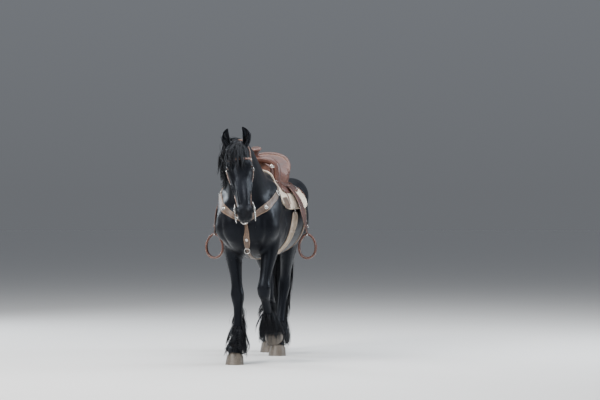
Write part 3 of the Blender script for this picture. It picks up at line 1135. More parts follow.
def strandMesh(name, found, radius):
    count, rings = len(found), found.shape[1] - 1
    along = np.gradient(found, axis=1)
    along /= np.linalg.norm(along, axis=2, keepdims=True) + 1e-9
    side = np.cross(along, np.array((0.31, 0.17, 0.93)) + rng.normal(0, 0.25, (count, 1, 3)))
    side /= np.linalg.norm(side, axis=2, keepdims=True) + 1e-9
    other = np.cross(along, side)
    t = np.linspace(0, 1, rings + 1)[None, :]
    girth = radius[:, None] * (0.55 + 0.45 * np.sin(math.pi * np.minimum(1, t * 1.6 + 0.1)))
    girth = np.where(t > 0.55, radius[:, None] * (1 - ((t - 0.55) / 0.45)**1.4 * 0.85), girth)
    corners = []
    for k in range(3):
        angle = math.tau * k / 3
        corners.append(found[:, :-1] + (side[:, :-1] * math.cos(angle) + other[:, :-1] * math.sin(angle)) * girth[:, :-1, None])
    body = np.stack(corners, 2).reshape(count, rings * 3, 3)
    verts = np.concatenate([body, found[:, -1:]], 1)
    each = rings * 3 + 1
    quads, tris = [], []
    for i in range(rings - 1):
        for k in range(3):
            j = (k + 1) % 3
            quads.append((i * 3 + k, i * 3 + j, i * 3 + 3 + j, i * 3 + 3 + k))
    tip, last = rings * 3, (rings - 1) * 3
    tris = [(0, 2, 1)] + [(last + k, last + (k + 1) % 3, tip) for k in range(3)]
    shift = (np.arange(count) * each)[:, None, None]
    quads = (np.array(quads)[None] + shift).reshape(-1, 4)
    tris = (np.array(tris)[None] + shift).reshape(-1, 3)
    mesh = bpy.data.meshes.new(name)
    mesh.vertices.add(count * each)
    mesh.vertices.foreach_set("co", verts.reshape(-1))
    loops = np.concatenate([quads.ravel(), tris.ravel()])
    mesh.loops.add(len(loops))
    mesh.loops.foreach_set("vertex_index", loops)
    mesh.polygons.add(len(quads) + len(tris))
    starts = np.concatenate([np.arange(len(quads)) * 4, len(quads) * 4 + np.arange(len(tris)) * 3])
    mesh.polygons.foreach_set("loop_start", starts)
    mesh.update(calc_edges=True)
    mesh.shade_smooth()
    spots = bakePlaces(found[:, 1])
    local = np.zeros((each, 2))
    local[:-1, 0] = np.repeat(np.linspace(0, 1, rings), 3) - 0.5
    local[:-1, 1] = np.tile((0, 0.5, 1), rings) - 0.5
    local[-1] = (0.5, 0)
    flat = (spots[:, None] + local[None] * 0.003).reshape(-1, 2)
    uv = mesh.uv_layers.new(name="OFBake")
    uv.data.foreach_set("uv", flat[loops].ravel())
    return newObject(name, mesh)


def hairPieces(name, found, plan, material, pieces, *nodes):
    radius = plan["radius"] * rng.uniform(0.7, 1.25, len(found))
    rootsIn(found, 0.002)
    made = []
    for i, part in enumerate(np.array_split(np.arange(len(found)), pieces)):
        word = name if pieces == 1 else f"{name}_{i + 1}"
        made.append(dress(strandMesh(word, found[part], radius[part]), material, plan["slot"], *nodes))
    print("friesian:", name, len(found), "strands")
    return made


manePlan = {"from": 0.17, "to": 0.90, "guides": 66, "length": 0.47, "longestY": -0.80, "perLock": 76, "steps": 13,
            "width": 0.034, "thick": 0.014, "gather": 0.55, "uneven": 0.34, "wave": 0.0085, "turns": 2.1,
            "radius": 0.00092, "slot": "coat"}


def maneStrands():
    rows = easedRows(neckRows, 12)
    found = []
    for i in range(manePlan["guides"]):
        share = manePlan["from"] + (manePlan["to"] - manePlan["from"]) * (i + 0.5 * rng.random()) / manePlan["guides"]
        row = rows[round(share * (len(rows) - 1))]
        reach = 1 - 0.42 * abs((row[0] - manePlan["longestY"]) / 0.5)
        length = manePlan["length"] * reach * rng.uniform(0.82, 1.04)
        lift = (0.005, 0.016, 0.028)[i * 2 % 3]
        root = world((row[5] + rng.uniform(-0.004, 0.010), row[0], row[1] - 0.010))
        heading = (-1, -0.25 * share + rng.normal(0, 0.10), 0.40 + rng.uniform(0, 0.25))
        path, outs = hang(root, heading, length, 14, lift, 13)
        found.append(strandsOn(path, outs, manePlan, rng.random()))
    return clearOf(np.concatenate(found), 0.003)


forelockPlan = {"guides": 32, "length": 0.33, "perLock": 44, "steps": 12, "width": 0.022, "thick": 0.007, "gather": 0.42,
                "uneven": 0.42, "wave": 0.0036, "turns": 1.5, "radius": 0.00084, "slot": "coat"}


def forelockStrands():
    found = []
    turn = headFrame.to_3x3()
    for i in range(forelockPlan["guides"]):
        share = (i + 0.5) / forelockPlan["guides"] * 2 - 1
        back = rng.random()                 # the furthest back grow from behind the ears
        root = world(onHead(0.036 * share * (1 - 0.4 * back), -0.010 - 0.022 * back, 0.020 - 0.058 * back))
        lean = -0.16 + 0.42 * share + rng.normal(0, 0.08)
        heading = turn @ Vector((lean, 0.50 + 0.25 * back, 1.0))
        length = forelockPlan["length"] * (1 - 0.22 * abs(share) + 0.16 * back) * rng.uniform(0.58, 0.98)
        path, outs = hang(root, heading, length, 14, (0.003, 0.007, 0.012)[i % 3], 9)
        found.append(strandsOn(path, outs, forelockPlan, rng.random()))
    return clearOf(np.concatenate(found), 0.003)


tailPlan = {
    # x, y, z, half-width, half-depth
    "rows": ((0.000, 0.660, 1.305, 0.028, 0.028), (0.000, 0.725, 1.310, 0.036, 0.034), (-0.004, 0.775, 1.262, 0.048, 0.042),
             (-0.010, 0.812, 1.150, 0.070, 0.052), (-0.018, 0.835, 0.990, 0.090, 0.058), (-0.024, 0.852, 0.770, 0.098, 0.060),
             (-0.024, 0.868, 0.540, 0.088, 0.055), (-0.018, 0.880, 0.330, 0.060, 0.042), (-0.010, 0.886, 0.160, 0.018, 0.014)),
    "guides": 64, "perLock": 58, "steps": 14, "width": 0.030, "thick": 0.012, "gather": 0.45, "uneven": 0.30,
    "wave": 0.0075, "turns": 2.3, "radius": 0.00104, "slot": "hair"}


def tailStrands():
    rows = easedRows(tailPlan["rows"], 8)
    last = len(rows) - 1
    found = []
    for i in range(tailPlan["guides"]):
        angle = math.tau * (i * 0.381966)
        reach = 0.30 + 0.66 * math.sqrt((i * 0.618034) % 1)
        start = 0.04 + 0.40 * rng.random() * (i % 4 > 0)
        stop = min(1, start + rng.uniform(0.52, 0.78)) if start < 0.4 else 1
        stop = max(stop, 0.72)
        t = np.linspace(start, stop, 15)
        cells = [np.interp(t * last, range(last + 1), rows[:, k]) for k in range(5)]
        grow = reach * np.minimum(1, 0.55 + 1.1 * (t - start))
        path = np.stack([cells[0] + math.cos(angle) * cells[3] * grow, cells[1] + math.sin(angle) * cells[4] * grow, cells[2]], 1)
        outs = np.tile((math.cos(angle), math.sin(angle), 0.05), (15, 1))
        found.append(strandsOn(world(path), outs, tailPlan, rng.random()))
    return np.concatenate(found)


featherPlan = {"fetlock": 11, "guides": 72, "length": 0.27, "perLock": 22, "steps": 8, "width": 0.034, "thick": 0.013,
               "gather": 0.28, "uneven": 0.36, "wave": 0.0042, "turns": 1.2, "radius": 0.00092, "slot": "coat"}


def featherStrands(leg):
    rows, side = legTables[leg]
    keys = np.array(rows)
    found = []
    for i in range(featherPlan["guides"]):
        tier = i % 4                      # fetlock, pastern, back of the cannon, coronet
        angle = math.tau * (i * 0.381966) if tier != 2 else rng.uniform(-1.0, 1.0)
        behind = (1 + math.cos(angle)) / 2
        way = Vector((math.sin(angle), math.cos(angle), 0))
        row = featherPlan["fetlock"] + (rng.uniform(-0.9, 0.3), 0.9 + rng.uniform(-0.3, 0.3), rng.uniform(-2.6, -0.4), 1.9)[tier]
        x, y, z = (np.interp(row, range(len(keys)), keys[:, k]) for k in range(3))
        centre = Vector(world((x * side, y, z)))
        hit = skinTree.find_nearest(centre + way * 0.05 + Vector((0, 0, 0.030 * behind)))[0]
        share = (0.72 + 0.28 * behind, 0.72 + 0.14 * behind, 0.50, 0.36 + 0.12 * behind)[tier]
        length = featherPlan["length"] * share * rng.uniform(0.78, 1.04)
        heading = way * (0.26, 0.26, 0.10, 0.45)[tier] + Vector((0, 0, -1))
        path, outs = hang(hit - way * 0.004, heading, length, 9, (0.003, 0.008, 0.014)[i // 4 % 3] * (1, 1, 0.5, 0.6)[tier], 6)
        found.append(strandsOn(path, outs, featherPlan, rng.random()))
    return clearOf(np.concatenate(found), 0.003)


# short hair that breaks the outline: along body, at the joints and under the belly, smaller on the face
tuftPlan = {"strands": 6600, "steps": 3, "radius": 0.00042, "slot": "coat", "perTuft": 6}


def tuftStrands():
    spots, outs = points(skinMesh), normals(skinMesh)
    drawn = (spots - standShift) / drawnScale
    x, y, z = np.abs(drawn[:, 0]), drawn[:, 1], drawn[:, 2]
    weight = np.full(len(spots), 0.03)
    weight += 2.2 * np.exp(-((z - 0.80) / 0.05)**2) * (y > -0.6) * (y < 0.5) * (outs[:, 2] < -0.4)       # belly
    weight += 2.5 * ((y > -0.62) & (y < -0.40) & (z > 0.70) & (z < 0.90))                                # elbows
    weight += 1.6 * ((y > 0.30) & (y < 0.48) & (z > 0.80) & (z < 1.00))                                  # flanks
    weight += 1.2 * ((z < 0.62) & (z > 0.22) & (outs[:, 1] > 0.35))                                      # backs of the legs
    local = np.full((len(spots), 3), 9.0)
    face = (spots[:, 1] < -0.80) & (spots[:, 2] > 1.05)
    local[face] = headMeasures(spots[face])
    weight += 1.5 * ((np.abs(local[:, 2] - 0.30) < 0.20) & (local[:, 1] < -0.11))                        # jaw
    weight[face & (local[:, 2] > 0.40) & (local[:, 1] > -0.09)] = 0.02
    weight[z < 0.20] = 0
    chosen = rng.choice(len(spots), tuftPlan["strands"] // tuftPlan["perTuft"], p=weight / weight.sum())
    roots, ways = np.repeat(spots[chosen], tuftPlan["perTuft"], 0), np.repeat(outs[chosen], tuftPlan["perTuft"], 0)
    count = len(roots)
    roots = roots + np.cross(ways, rng.normal(0, 1, (count, 3))) * 0.003
    lie = np.tile((0.0, 0.72, -0.69), (count, 1))                     # back along the body, and down
    lie[roots[:, 2] < 0.85] = (0, 0.25, -0.97)
    onFace = np.repeat(face[chosen], tuftPlan["perTuft"])
    lie[onFace] = np.array(headFrame.to_3x3() @ Vector((0, -0.25, 1)))
    lie = lie - ways * (lie * ways).sum(1, keepdims=True)
    lie /= np.linalg.norm(lie, axis=1, keepdims=True) + 1e-9
    length = rng.uniform(0.008, 0.019, (count, 1)) * np.where(onFace, 0.6, 1)[:, None]
    length = length * np.where(np.repeat(weight[chosen] > 1, tuftPlan["perTuft"]), 1.5, 1)[:, None]
    stand = rng.uniform(0.05, 0.22, (count, 1))
    t = np.linspace(0, 1, tuftPlan["steps"] + 1)[None, :, None]
    way = lie + rng.normal(0, 0.10, (count, 3))
    found = roots[:, None] + way[:, None] * length[:, None] * t + ways[:, None] * (stand * length)[:, None] * (t * (1.5 - t)) * 1.6
    found[:, :, 2] = np.maximum(found[:, :, 2], 0.004)
    return found


earHairPlan = {"perLock": 22, "steps": 6, "width": 0.010, "thick": 0.005, "gather": 0.5, "uneven": 0.4, "wave": 0.0015, "turns": 0.8,
               "radius": 0.00045, "slot": "coat", "guides": 16}


def earHairStrands():
    found = []
    for side in (1, -1):
        for i in range(earHairPlan["guides"]):
            share = i / earHairPlan["guides"]
            spot = [np.interp(share, (0, 0.25, 0.5, 0.75, 1), key) for key in (
                (0.058, 0.064, 0.070, 0.075, 0.073), (-0.022, -0.012, -0.004, 0.002, 0.006), (0.024, 0.004, -0.018, -0.044, -0.075))]
            aside = rng.uniform(-1, 1) * 0.014
            start = world(onHead((spot[0] + 0.006) * side + aside, spot[1] - 0.012, spot[2]))
            end = world(onHead((spot[0] + 0.016) * side + aside * 1.7, spot[1] + rng.uniform(0.010, 0.022), spot[2] - rng.uniform(0.016, 0.030)))
            path = np.linspace(start, end, 7)
            outs = np.tile(tuple(headFrame.to_3x3() @ Vector((side, 0.4, 0))), (7, 1))
            found.append(strandsOn(path, outs, earHairPlan, rng.random()))
    return np.concatenate(found)


whiskerPlan = {"strands": 150, "steps": 5, "radius": 0.00032, "slot": "coat"}


def whiskerStrands():
    found = []
    for i in range(whiskerPlan["strands"]):
        side = -1 if i % 2 else 1
        lash = i < 70                        # lashes over the eyes, then the feelers of lips and chin
        if lash:
            t = rng.random()
            at = onHead(0.092 * side, -0.030 + 0.034 * t, 0.186 - 0.010 * math.sin(math.pi * t) + 0.004 * t)
            way = headFrame.to_3x3() @ Vector((side * 0.9, 0.25, 0.20 + rng.normal(0, 0.15)))
            length = rng.uniform(0.012, 0.022)
        else:
            at = onHead(rng.uniform(0.01, 0.055) * side, rng.uniform(-0.125, -0.055), rng.uniform(0.50, 0.60))
            way = headFrame.to_3x3() @ Vector((side * rng.uniform(0.2, 0.9), rng.normal(-0.2, 0.4), 0.7))
            length = rng.uniform(0.010, 0.034)
        hit, normal, _, _ = skinTree.find_nearest(Vector(world(at)))
        way = (way.normalized() + normal * 0.8).normalized()
        t = np.linspace(0, 1, whiskerPlan["steps"] + 1)[:, None]
        found.append(np.array(hit) + np.array(way) * length * t + np.array((0, 0, -0.25 * length)) * t**2)
    return np.array(found)


for side, word in ((1, "left"), (-1, "right")):
    dress(makeEye(side, word), darkEye, "eye", "eye_" + word)
    dress(makeEar(side, word), blackCoat, "coat", "ear_" + word)
for leg in legTables:
    dress(makeHoof(leg), hoofHorn, "hoof", "hoof_" + leg)
print("friesian: eyes, ears and hooves")
hairPieces("mane", maneStrands(), manePlan, longHair, 3)
hairPieces("forelock", forelockStrands(), forelockPlan, longHair, 1)
hairPieces("tail_hair", tailStrands(), tailPlan, longHair, 2, "tail")
for leg in legTables:
    hairPieces("feather_" + leg, featherStrands(leg), featherPlan, longHair, 1)
hairPieces("ear_hair", earHairStrands(), earHairPlan, longHair, 1)
hairPieces("whiskers", whiskerStrands(), whiskerPlan, longHair, 1)
hairPieces("coat_tufts", tuftStrands(), tuftPlan, longHair, 1)


# ---- saddlery: straps and panels laid on the horse

trunkTree = treeOf(frame["nodes"]["torso"].data, frame["nodes"]["neck"].data)


def trunkSpot(y, angle):
    way = Vector((math.sin(angle), 0, math.cos(angle)))
    start = Vector(world((0, y, 1.10)))
    hit = trunkTree.ray_cast(start + way, -way)[0] or start
    near = skinTree.ray_cast(hit + way * 0.02, -way, 0.05)[0]
    return (near or hit), way


def gridPiece(name, verts, flat=None, ring=False, smooth=True):
    rows, sides = verts.shape[:2]
    index = np.arange(rows * sides).reshape(rows, sides)
    after = np.roll(index, -1, axis=1)
    if ring:
        nextRow, nextAfter = np.roll(index, -1, axis=0), np.roll(after, -1, axis=0)
        quads = np.stack([index, after, nextAfter, nextRow], 2).reshape(-1, 4)
    else:
        quads = np.stack([index[:-1], after[:-1], after[1:], index[1:]], 2).reshape(-1, 4)
    faces = quads.tolist()
    if not ring:
        faces += [index[0, ::-1].tolist(), index[-1].tolist()]
    mesh = bpy.data.meshes.new(name)
    mesh.from_pydata(verts.reshape(-1, 3).tolist(), [], faces)
    if flat is not None:
        layer = mesh.uv_layers.new(name="along")
        loops = np.empty(len(mesh.loops), dtype=np.int32)
        mesh.loops.foreach_get("vertex_index", loops)
        layer.data.foreach_set("uv", flat.reshape(-1, 2)[loops].ravel())
    bm = bmesh.new()
    bm.from_mesh(mesh)
    bmesh.ops.recalc_face_normals(bm, faces=bm.faces)
    bm.to_mesh(mesh)
    bm.free()
    obj = newObject(name, mesh)
    if smooth:
        mesh.shade_smooth()
    return obj


def smoothed(line, rounds=2):
    line = line.copy()
    for _ in range(rounds):
        line[1:-1] = (line[:-2] + 2 * line[1:-1] + line[2:]) / 4
    return line


def evenLine(route, step):
    rows = easedRows(route, 12)
    run = np.concatenate([[0], np.cumsum(np.linalg.norm(np.diff(rows, axis=0), axis=1))])
    count = max(6, round(run[-1] / step))
    at = np.linspace(0, run[-1], count)
    return np.stack([np.interp(at, run, rows[:, k]) for k in range(3)], 1)


strapEdge = (   # share across, share of the thickness: a crowned face with a crease beside each bevelled edge
    (-1.00, 0.30), (-0.985, 0.72), (-0.93, 0.95), (-0.86, 0.99), (-0.81, 0.84), (-0.76, 0.99), (-0.40, 1.05), (0.00, 1.07),
    (0.40, 1.05), (0.76, 0.99), (0.81, 0.84), (0.86, 0.99), (0.93, 0.95), (0.985, 0.72), (1.00, 0.30))


def strapOn(name, tree, route, half, thick, sunk=0.0015, widthAt=None, step=0.005, lift=0.0):
    line = evenLine(world(route), step)
    count = len(line)
    spots, outs = np.empty((count, 3)), np.empty((count, 3))
    for i, p in enumerate(line):
        place, normal, _, _ = tree.find_nearest(Vector(p))
        spots[i], outs[i] = place, normal
    outs = smoothed(outs, 6)
    outs /= np.linalg.norm(outs, axis=1, keepdims=True)
    spots = smoothed(spots, 3)
    along = np.gradient(spots, axis=0)
    along /= np.linalg.norm(along, axis=1, keepdims=True)
    across = np.cross(along, outs)
    across /= np.linalg.norm(across, axis=1, keepdims=True)
    run = np.concatenate([[0], np.cumsum(np.linalg.norm(np.diff(spots, axis=0), axis=1))])
    widths = np.array([half * (widthAt(x) if widthAt else 1) for x in run / run[-1]])
    shares = np.linspace(-1, 1, 7)
    rise = np.zeros((count, 7))
    for i in range(count):
        for k, share in enumerate(shares):
            p = Vector(spots[i] + across[i] * widths[i] * share + outs[i] * 0.02)
            hit, _, _, away = tree.ray_cast(p, Vector(-outs[i]), 0.05)
            rise[i, k] = (0.02 - away) if hit is not None else 0
    rise = np.clip(rise, -0.012, 0.012)
    for _ in range(3):
        rise[1:-1] = (rise[:-2] + 2 * rise[1:-1] + rise[2:]) / 4
        rise[:, 1:-1] = (rise[:, :-2] + 2 * rise[:, 1:-1] + rise[:, 2:]) / 4
    top = np.array(strapEdge)
    under = np.array([(share, None) for share in np.linspace(0.97, -0.97, 9)], dtype=object)[:, 0].astype(float)
    loops, flat = [], []
    for i in range(count):
        face = [(s, h * thick) for s, h in top] + [(s, -sunk) for s in under]
        level = np.interp([s for s, _ in face], shares, rise[i]) + np.array([h for _, h in face]) + lift
        wide = np.array([s for s, _ in face]) * widths[i]
        loops.append(spots[i] + wide[:, None] * across[i] + level[:, None] * outs[i])
        flat.append(np.stack([np.full(len(face), run[i]), wide], 1))
    obj = gridPiece(name, np.array(loops), np.array(flat))
    middle = spots + (rise[:, 3:4] + lift) * outs
    return obj, {"line": middle, "outs": outs, "across": across, "run": run, "half": widths, "thick": thick, "rise": rise + lift,
                 "shares": shares}


def spotOn(laid, run, share=0.0, proud=0.0):
    at = np.clip(run, 0, laid["run"][-1])
    pick = lambda table: np.array([np.interp(at, laid["run"], table[:, k]) for k in range(3)])
    out, across = pick(laid["outs"]), pick(laid["across"])
    half = np.interp(at, laid["run"], laid["half"])
    rise = np.interp(at, laid["run"], [np.interp(share, laid["shares"], row) for row in laid["rise"]]) - np.interp(
        at, laid["run"], laid["rise"][:, 3])
    place = pick(laid["line"]) + across * half * share + out * (laid["thick"] + proud + rise)
    along = np.cross(out, across)
    return place, out / np.linalg.norm(out), along / np.linalg.norm(along)


def stitchMesh(name, spots, length=0.0032, girth=0.00055):
    verts, faces = [], []
    for place, out, along in spots:
        side = np.cross(along, out)
        base = len(verts)
        verts.append(place - along * length / 2 - out * girth)
        for a, b in ((1, 0), (0, 1), (-1, 0), (0, -1)):
            verts.append(place + side * girth * a + out * girth * b)
        verts.append(place + along * length / 2 - out * girth)
        for k in range(4):
            j = (k + 1) % 4
            faces += [(base, base + 1 + k, base + 1 + j), (base + 5, base + 1 + j, base + 1 + k)]
    mesh = bpy.data.meshes.new(name)
    mesh.from_pydata([tuple(v) for v in verts], [], faces)
    bm = bmesh.new()
    bm.from_mesh(mesh)
    bmesh.ops.recalc_face_normals(bm, faces=bm.faces)
    bm.to_mesh(mesh)
    bm.free()
    return mesh


def stitched(name, laid, share=0.87, gap=0.0048, start=0.004, stop=None, slotName="leather"):
    end = laid["run"][-1] - 0.004 if stop is None else stop
    spots = [spotOn(laid, run, s, 0.0001) for s in (-share, share) for run in np.arange(start, end, gap)]
    return dress(newObject(name, stitchMesh(name, spots)), waxedThread, slotName)


def tube(name, line, radius, sides=12, ring=False, squash=1.0, across=None):
    line = np.asarray(line, float)
    if ring:
        along = np.roll(line, -1, axis=0) - np.roll(line, 1, axis=0)
    else:
        along = np.gradient(line, axis=0)
    along /= np.linalg.norm(along, axis=1, keepdims=True)
    hint = np.asarray(across if across is not None else (0.13, 0.99, 0.07), float)
    side = np.cross(along, hint)
    side /= np.linalg.norm(side, axis=1, keepdims=True)
    other = np.cross(along, side)
    radius = np.broadcast_to(radius, (len(line),))
    angles = np.arange(sides) / sides * math.tau
    verts = (line[:, None] + (side[:, None] * np.cos(angles)[None, :, None] + other[:, None] * np.sin(angles)[None, :, None] * squash)
             * radius[:, None, None])
    run = np.concatenate([[0], np.cumsum(np.linalg.norm(np.diff(line, axis=0), axis=1))])
    flat = np.stack([np.repeat(run[:, None], sides, 1), np.repeat((angles * radius.mean())[None], len(line), 0)], 2)
    return gridPiece(name, verts, flat, ring)


def frameAt(place, out, along):
    out, along = Vector(out).normalized(), Vector(along).normalized()
    side = along.cross(out).normalized()
    along = out.cross(side)
    matrix = Matrix((side, along, out)).transposed().to_4x4()
    matrix.translation = Vector(place)
    return np.array(matrix)


def movedBy(matrix, local):
    return local @ matrix[:3, :3].T + matrix[:3, 3]


def concho(name, place, out, along, radius, slotName="silver"):
    # a domed rosette: scalloped rim, beaded ring and petals
    rings = ((1.00, -0.10), (1.00, 0.06), (0.93, 0.13), (0.87, 0.08), (0.80, 0.12), (0.74, 0.20), (0.66, 0.16), (0.55, 0.26),
             (0.42, 0.31), (0.30, 0.27), (0.24, 0.38), (0.12, 0.46), (0.02, 0.48))
    angles = np.arange(60) / 60 * math.tau
    rows = []
    for i, (reach, high) in enumerate(rings):
        scallop = 1 + (0.045 * np.cos(angles * 12) if i < 3 else 0)
        petal = 1 + (0.10 * np.cos(angles * 6) if 6 <= i <= 9 else 0)
        bead = 0.035 * np.abs(np.sin(angles * 15)) if i in (4, 5) else 0
        rows.append(np.stack([np.cos(angles) * reach * scallop * petal * radius, np.sin(angles) * reach * scallop * petal * radius,
                              (high * 0.55 + bead) * radius * np.ones_like(angles)], 1))
    obj = gridPiece(name, movedBy(frameAt(place, out, along), np.array(rows)))
    obj.data.set_sharp_from_angle(angle=math.radians(50))
    return dress(obj, engravedSilver, slotName)


def buckle(name, place, out, along, width, length, bar=0.0022, slotName="silver"):
    # a frame with rounded corners, its middle bar, and a tongue
    angles = np.arange(48) / 48 * math.tau
    local = np.stack([np.sign(np.cos(angles)) * np.abs(np.cos(angles))**0.55 * width / 2,
                      np.sign(np.sin(angles)) * np.abs(np.sin(angles))**0.55 * length / 2, 0 * angles + bar], 1)
    matrix = frameAt(place, out, along)
    pieces = [tube(name, movedBy(matrix, local), bar, 10, ring=True, across=tuple(out))]
    line = np.array([(x, 0, bar) for x in np.linspace(-width / 2, width / 2, 8)])
    pieces.append(tube(name + "_bar", movedBy(matrix, line), bar * 0.75, 8, across=tuple(out)))
    line = np.array([(0, y, bar * (1.2 + 1.2 * (y * 2 / length))) for y in np.linspace(-0.1 * length, 0.52 * length, 12)])
    pieces.append(tube(name + "_tongue", movedBy(matrix, line), bar * 0.7, 8, across=tuple(matrix[:3, 0])))
    return [dress(piece, engravedSilver, slotName) for piece in pieces]


def rimSteps(half, rim, count):
    edge = rim * np.array((0, 0.05, 0.16, 0.33, 0.58, 0.90, 1.3)) / half
    inner = np.linspace(edge[-1], 2 - edge[-1], count)[1:-1]
    return np.concatenate([edge, inner, 2 - edge[::-1]]) - 1


def slabOn(name, spec):
    # a panel wrapped on the trunk, its rim rounded: places along, and angles round from the top
    low, high = (math.radians(a) for a in spec["angles"])
    halfLong = (spec["to"] - spec["from"]) / 2 * drawnScale
    halfRound = (high - low) / 2 * 0.36
    us = rimSteps(halfLong, spec["rim"], spec["long"])
    vs = rimSteps(halfRound, spec["rim"], spec["round"])
    reachAt = lambda u: 1 - spec.get("corner", 0.16) * abs(u)**5
    hits = np.empty((len(us), len(vs), 3))
    ways = np.empty_like(hits)
    for i, u in enumerate(us):
        y = spec["from"] + (spec["to"] - spec["from"]) * (u + 1) / 2
        for j, v in enumerate(vs):
            middle = (low + high) / 2
            angle = middle + (high - low) / 2 * v if spec.get("square") else middle * 1 + (high - low) / 2 * v * reachAt(u)
            hit, way = trunkSpot(y + spec.get("scoop", 0) * (1 - u) * math.cos(angle)**8, angle)
            hits[i, j], ways[i, j] = hit, way
    for _ in range(spec.get("ease", 3)):
        hits[1:-1] = (hits[:-2] + 2 * hits[1:-1] + hits[2:]) / 4
        hits[:, 1:-1] = (hits[:, :-2] + 2 * hits[:, 1:-1] + hits[:, 2:]) / 4
    du = (1 - np.abs(us))[:, None] * halfLong
    dv = (1 - np.abs(vs))[None, :] * halfRound
    near = np.minimum(np.minimum(du, dv) / spec["rim"], 1)
    bulge = np.sqrt(np.maximum(1 - (1 - near)**2, 0))
    middle, half = spec["inside"] + spec["thick"] / 2, spec["thick"] / 2
    outer = hits + ways * (middle + half * bulge)[..., None]
    inner = hits + ways * (middle - half * bulge)[..., None]
    if spec.get("nap"):
        for i in range(len(us)):
            for j in range(len(vs)):
                p = Vector(outer[i, j])
                outer[i, j] += ways[i, j] * spec["nap"] * bulge[i, j] * (noise.noise(p * 55) + 0.6 * noise.noise(p * 140))
    verts = np.concatenate([outer, inner[:, -2:0:-1]], 1)
    runU = np.repeat((us * halfLong)[:, None], len(vs), 1)
    runV = np.repeat((vs * halfRound)[None], len(us), 0)
    edgeAway = np.minimum(du + 0 * dv, dv + 0 * du)
    nearer = du + 0 * dv < dv + 0 * du
    flatOuter = np.stack([np.where(nearer, runV, runU), edgeAway - spec.get("band", 0.036)], 2)
    flat = np.concatenate([flatOuter, flatOuter[:, -2:0:-1]], 1)
    obj = gridPiece(name, verts, flat)
    return obj, {"outer": outer, "ways": ways, "us": us, "vs": vs, "halfLong": halfLong, "halfRound": halfRound}


def rimLine(laid, inset):
    # a line all round a panel's face, this far in from its rim
    us = np.clip(laid["us"], -1 + inset / laid["halfLong"], 1 - inset / laid["halfLong"])
    vs = np.clip(laid["vs"], -1 + inset / laid["halfRound"], 1 - inset / laid["halfRound"])
    lowU, highU, lowV, highV = us[0], us[-1], vs[0], vs[-1]
    walk = [(u, lowV) for u in np.linspace(lowU, highU, 60)] + [(highU, v) for v in np.linspace(lowV, highV, 60)][1:]
    walk += [(u, highV) for u in np.linspace(highU, lowU, 60)][1:] + [(lowU, v) for v in np.linspace(highV, lowV, 60)][1:-1]
    spots, outs = [], []
    for u, v in walk:
        i = np.interp(u, laid["us"], range(len(laid["us"])))
        j = np.interp(v, laid["vs"], range(len(laid["vs"])))
        i0, j0 = min(int(i), len(laid["us"]) - 2), min(int(j), len(laid["vs"]) - 2)
        fi, fj = i - i0, j - j0
        weights = ((1 - fi) * (1 - fj), (1 - fi) * fj, fi * (1 - fj), fi * fj)
        cells = ((i0, j0), (i0, j0 + 1), (i0 + 1, j0), (i0 + 1, j0 + 1))
        spots.append(sum(w * laid["outer"][c] for w, c in zip(weights, cells)))
        outs.append(sum(w * laid["ways"][c] for w, c in zip(weights, cells)))
    return np.array(spots), np.array(outs)


def rimStitches(name, laid, inset, gap=0.0052, slotName="leather"):
    spots, outs = rimLine(laid, inset)
    run = np.concatenate([[0], np.cumsum(np.linalg.norm(np.diff(spots, axis=0), axis=1))])
    at = np.arange(0, run[-1], gap)
    line = np.stack([np.interp(at, run, spots[:, k]) for k in range(3)], 1)
    ways = np.stack([np.interp(at, run, outs[:, k]) for k in range(3)], 1)
    along = np.gradient(line, axis=0)
    along /= np.linalg.norm(along, axis=1, keepdims=True) + 1e-9
    ways /= np.linalg.norm(ways, axis=1, keepdims=True)
    return dress(newObject(name, stitchMesh(name, zip(line, ways, along), 0.0036, 0.0006)), waxedThread, slotName)


padPlan = {"from": -0.430, "to": 0.220, "angles": (-80, 80), "inside": -0.003, "thick": 0.0215, "rim": 0.011, "long": 58,
           "round": 120, "nap": 0.0016, "band": 0.0}
patchPlan = {"from": -0.424, "to": -0.300, "inside": 0.0165, "thick": 0.0042, "rim": 0.003, "long": 16, "round": 20,
             "corner": 0.05, "band": 0.020}
skirtPlan = {"from": -0.350, "to": 0.180, "angles": (-54, 54), "inside": 0.0190, "thick": 0.0080, "rim": 0.005, "long": 46,
             "round": 80, "ease": 6}
jockeyPlan = {"from": -0.245, "to": 0.075, "inside": 0.0272, "thick": 0.0055, "rim": 0.004, "long": 30, "round": 34,
              "corner": 0.28, "ease": 6, "band": 0.030}

pad, padLaid = slabOn("wool_pad", padPlan)
dress(pad, creamWool, "wool", "saddle_pad")
for side, word in ((1, "left"), (-1, "right")):
    angles = sorted((side * 58, side * 77.5))
    patch, laid = slabOn("wear_patch_" + word, {**patchPlan, "angles": angles})
    dress(patch, tanTooled, "tan_leather")
    rimStitches("wear_stitches_" + word, laid, 0.006, slotName="tan_leather")
skirt, skirtLaid = slabOn("skirt", skirtPlan)
dress(skirt, skirtLeather, "leather", "saddle_skirt")
rimStitches("skirt_stitches", skirtLaid, 0.008)
for side, word in ((1, "left"), (-1, "right")):
    jockey, laid = slabOn("jockey_" + word, {**jockeyPlan, "angles": sorted((side * 14, side * 43))})
    dress(jockey, skirtLeather, "leather")
    rimStitches("jockey_stitches_" + word, laid, 0.007)
print("friesian: pad and skirts")


# ---- the saddle's tree: seat and cantle, fork and horn

